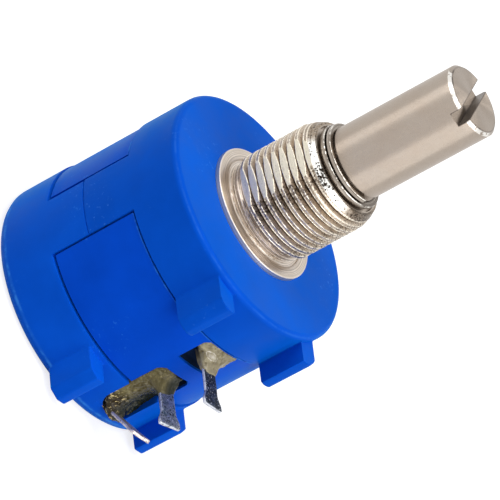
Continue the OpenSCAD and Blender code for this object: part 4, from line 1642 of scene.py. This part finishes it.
class Workshop:
    """Holds the sub-assemblies and their finishes, and builds the part from them."""

    def __init__(self) -> None:
        """Sizes the turned parts, which their finishes read."""
        self.bushing = Bushing()
        self.shaft = Shaft()

    def build_shells(self) -> None:
        """Builds the two end shells, the coil housing and the rounded corners of the pockets."""
        moulded = partial(
            Moulding, roughness=0.5, specular=0.06, specular_tint=(0.25, 0.7, 1.0), sheen=0.5,
            sheen_tint=(0.0, 0.55, 0.9), dusty=0.35)
        front = moulded("front shell blue", (0.0010, 0.072, 0.56), (0.0016, 0.088, 0.66),
                        rim=(11.07, -0.50), worn=(0.09, 0.36, 0.95)).build()
        rear = moulded("rear shell blue", (0.0013, 0.080, 0.62), (0.0020, 0.098, 0.72),
                       rim=(11.05, -18.30)).build()
        tube = moulded("coil housing blue", (0.0008, 0.062, 0.59), (0.0012, 0.076, 0.70),
                       rim=(10.97, -5.60), rim_reach=0.12,
                       grooves=((10.25, -5.5), (10.25, -13.75))).build()
        EndCup("front_shell", 1, 4.95, 0.55, 4.4525, 0.0, 0.0, foot_end=4.95).build(front)
        EndCup("rear_shell", -1, 5.35, 1.0, 3.0, 1.1, 1.9, far_window=74.5).build(rear)
        CoilHousing().build(tube)
        PocketCorners("moulded_pocket_corners", ["coil_housing"], 10.02, 10.955, [
            (-1.87, -5.63, 0.9, -0.7), (1.87, -5.63, -0.8, -0.8),
            (-1.87, -10.38, 1.0, -0.9), (1.87, -10.38, -0.7, -0.7)]).build(tube)
        PocketCorners("moulded_notch_corners", ["rear_shell"], 10.02, 11.085, [
            (-1.87, -17.37, 1.2, 1.5)]).build(rear)

    def build_metalwork(self) -> None:
        """Builds the bushing, the shaft and the two rings on it."""
        flange_r = box_mm("bushing")[1].x
        self.bushing.build(ThreadedMetal(
            "bushing nickel", (0.80, 0.72, 0.645), (0.69, 0.595, 0.50), roughness=0.38,
            mark_depth=5e-6, streaks=0.5, thread=self.bushing,
            rims=((flange_r, -0.06), (4.54, 0.40), (4.54, 0.70))).build())
        tip = box_mm("shaft")[1].z
        self.shaft.build(SlottedMetal(
            "shaft nickel", (0.425, 0.365, 0.31), (0.41, 0.34, 0.28), roughness=0.32,
            mark_depth=1.5e-6, mark_scale=14000.0, brushed=1.0, shaft=self.shaft, tip=tip,
            rims=((3.17, tip - 0.27),), rim_reach=0.06).build())
        self.steel = TurnedMetal(
            "ring steel", (0.40, 0.355, 0.31), (0.30, 0.255, 0.21), roughness=0.24,
            mark_scale=5200.0, streaks=0.7, rims=((3.71, 8.89), (3.58, 9.39)), rim_reach=0.09).build()
        ShaftRings().build(self.steel)

    def build_lugs(self) -> None:
        """Builds the three solder lugs."""
        low, high = box_mm("front_lug")
        SolderLug("front_lug", high.y - low.y, seed=1.0).build(
            Vector((0.1, high.y, low.z)),
            TinnedSheet("front lug tin", (0.09, 0.11, 0.13), (0.02, 0.03, 0.04), sooty=0.52).build())
        low, high = box_mm("middle_lug")
        turn, back, middle_z = 12.0, 0.3, -11.65
        angle = math.radians(turn)
        SolderLug("middle_lug", high.y - low.y, turn=turn, seed=5.0).build(
            Vector((0.1 + back * math.sin(angle), high.y, middle_z - back * math.cos(angle))),
            # The middle lug's dull tone is tinted blue as a painted reflection of the housing.
            TinnedSheet("middle lug tin with painted blue reflection", (0.46, 0.46, 0.45), (0.07, 0.12, 0.19), sooty=0.43,
                        patch_scale=5200.0).build())
        low, high = box_mm("rear_lug")
        bend, past, straight = 34.0, 4.15, high.y + 10.6
        SolderLug("rear_lug", straight + math.radians(bend) * 1.75 + past, straight=straight,
                  bend=bend, seed=9.0).build(
            Vector((0.0, high.y, low.z)),
            # The rear lug's tin is paler than the others' as a painted reflection of the lamps.
            TinnedSheet("rear lug tin with painted reflection", (0.60, 0.53, 0.50), (0.28, 0.23, 0.20),
                        edge=(0.72, 0.64, 0.62), sooty=0.37, patch_scale=4600.0).build())

    def build_resin(self) -> None:
        """Builds the resin in the two pockets."""
        front = Sealing("front resin", (0.42, 0.365, 0.22), (0.19, 0.15, 0.075), (0.55, 0.50, 0.38),
                        glint_share=0.66, shaded=0.15, gloss=0.5).build()
        rear = Sealing("rear resin", (0.235, 0.20, 0.085), (0.085, 0.066, 0.022), (1.0, 0.80, 0.38),
                       glint_share=0.555, glint_below=-15.9).build()
        SealedPocket(
            "front_resin_seal", "front_sealant", -8.83, -5.67, [(0.1, -7.40, 1.35)],
            [(-2.1, -5.4), (2.2, -5.4), (2.2, -7.9), (0.8, -8.3), (-0.75, -7.75), (-0.85, -7.3),
             (-2.1, -6.8)],
            bubble=(-0.40, -6.52, 0.85, 0.30), seed=2.0).build(front)
        SealedPocket(
            "rear_resin_seal", "rear_sealant", -17.33, -10.42, [(0.1, -11.80, 1.2), (0.0, -17.05, 1.0)],
            [(-0.9, -17.6), (-2.1, -16.2), (-2.1, -11.2), (-1.4, -10.2), (0.9, -10.4),
             (1.35, -11.3), (1.6, -12.2), (2.2, -12.8), (2.2, -16.9), (1.3, -17.6)],
            sag=(0.55, -14.4, -0.4, 1.5), seed=7.0).build(rear)

    def dress_inner_nodes(self, nodes: dict[str, Object]) -> None:
        """Gives the CAD nodes that stay their finishes."""
        finishes = [
            (Winding().build(), ["resistance_element"]),
            (TurnedMetal("contact brass", (0.78, 0.56, 0.24), (0.66, 0.45, 0.18), roughness=0.3).build(),
             ["front_tap", "rear_tap", "collector_brush", "rear_bearing", "slip_ring",
              "collector_rail", "wiper_contact", "rail_contact"]),
            (Moulding("seal rubber", (0.010, 0.010, 0.010), (0.020, 0.019, 0.018), roughness=0.68,
                      grain_depth=8e-6, specular=0.3).build(), ["shaft_seal"]),
            (self.steel, ["spring_washer"]),
            (Moulding("black moulding", (0.012, 0.012, 0.014), (0.022, 0.022, 0.024),
                      roughness=0.5).build(), ["rotor_hub"]),
            (Moulding("ivory moulding", (0.62, 0.57, 0.44), (0.74, 0.70, 0.58)).build(),
             ["wiper_carriage"])]
        for material, names in finishes:
            for name in names:
                for slot in nodes[name].material_slots:
                    slot.material = material
                LOG.info("%s dressed with %s", name, material.name)


def main() -> None:
    """Loads the frame, sets up the stage and builds every sub-assembly in order."""
    logging.basicConfig(level=logging.INFO, format="%(name)s: %(message)s")
    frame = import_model()
    Stage().build()
    shop = Workshop()
    shop.build_shells()
    shop.build_metalwork()
    shop.build_lugs()
    shop.build_resin()
    shop.dress_inner_nodes(frame["nodes"])


if __name__ == "__main__":
    main()
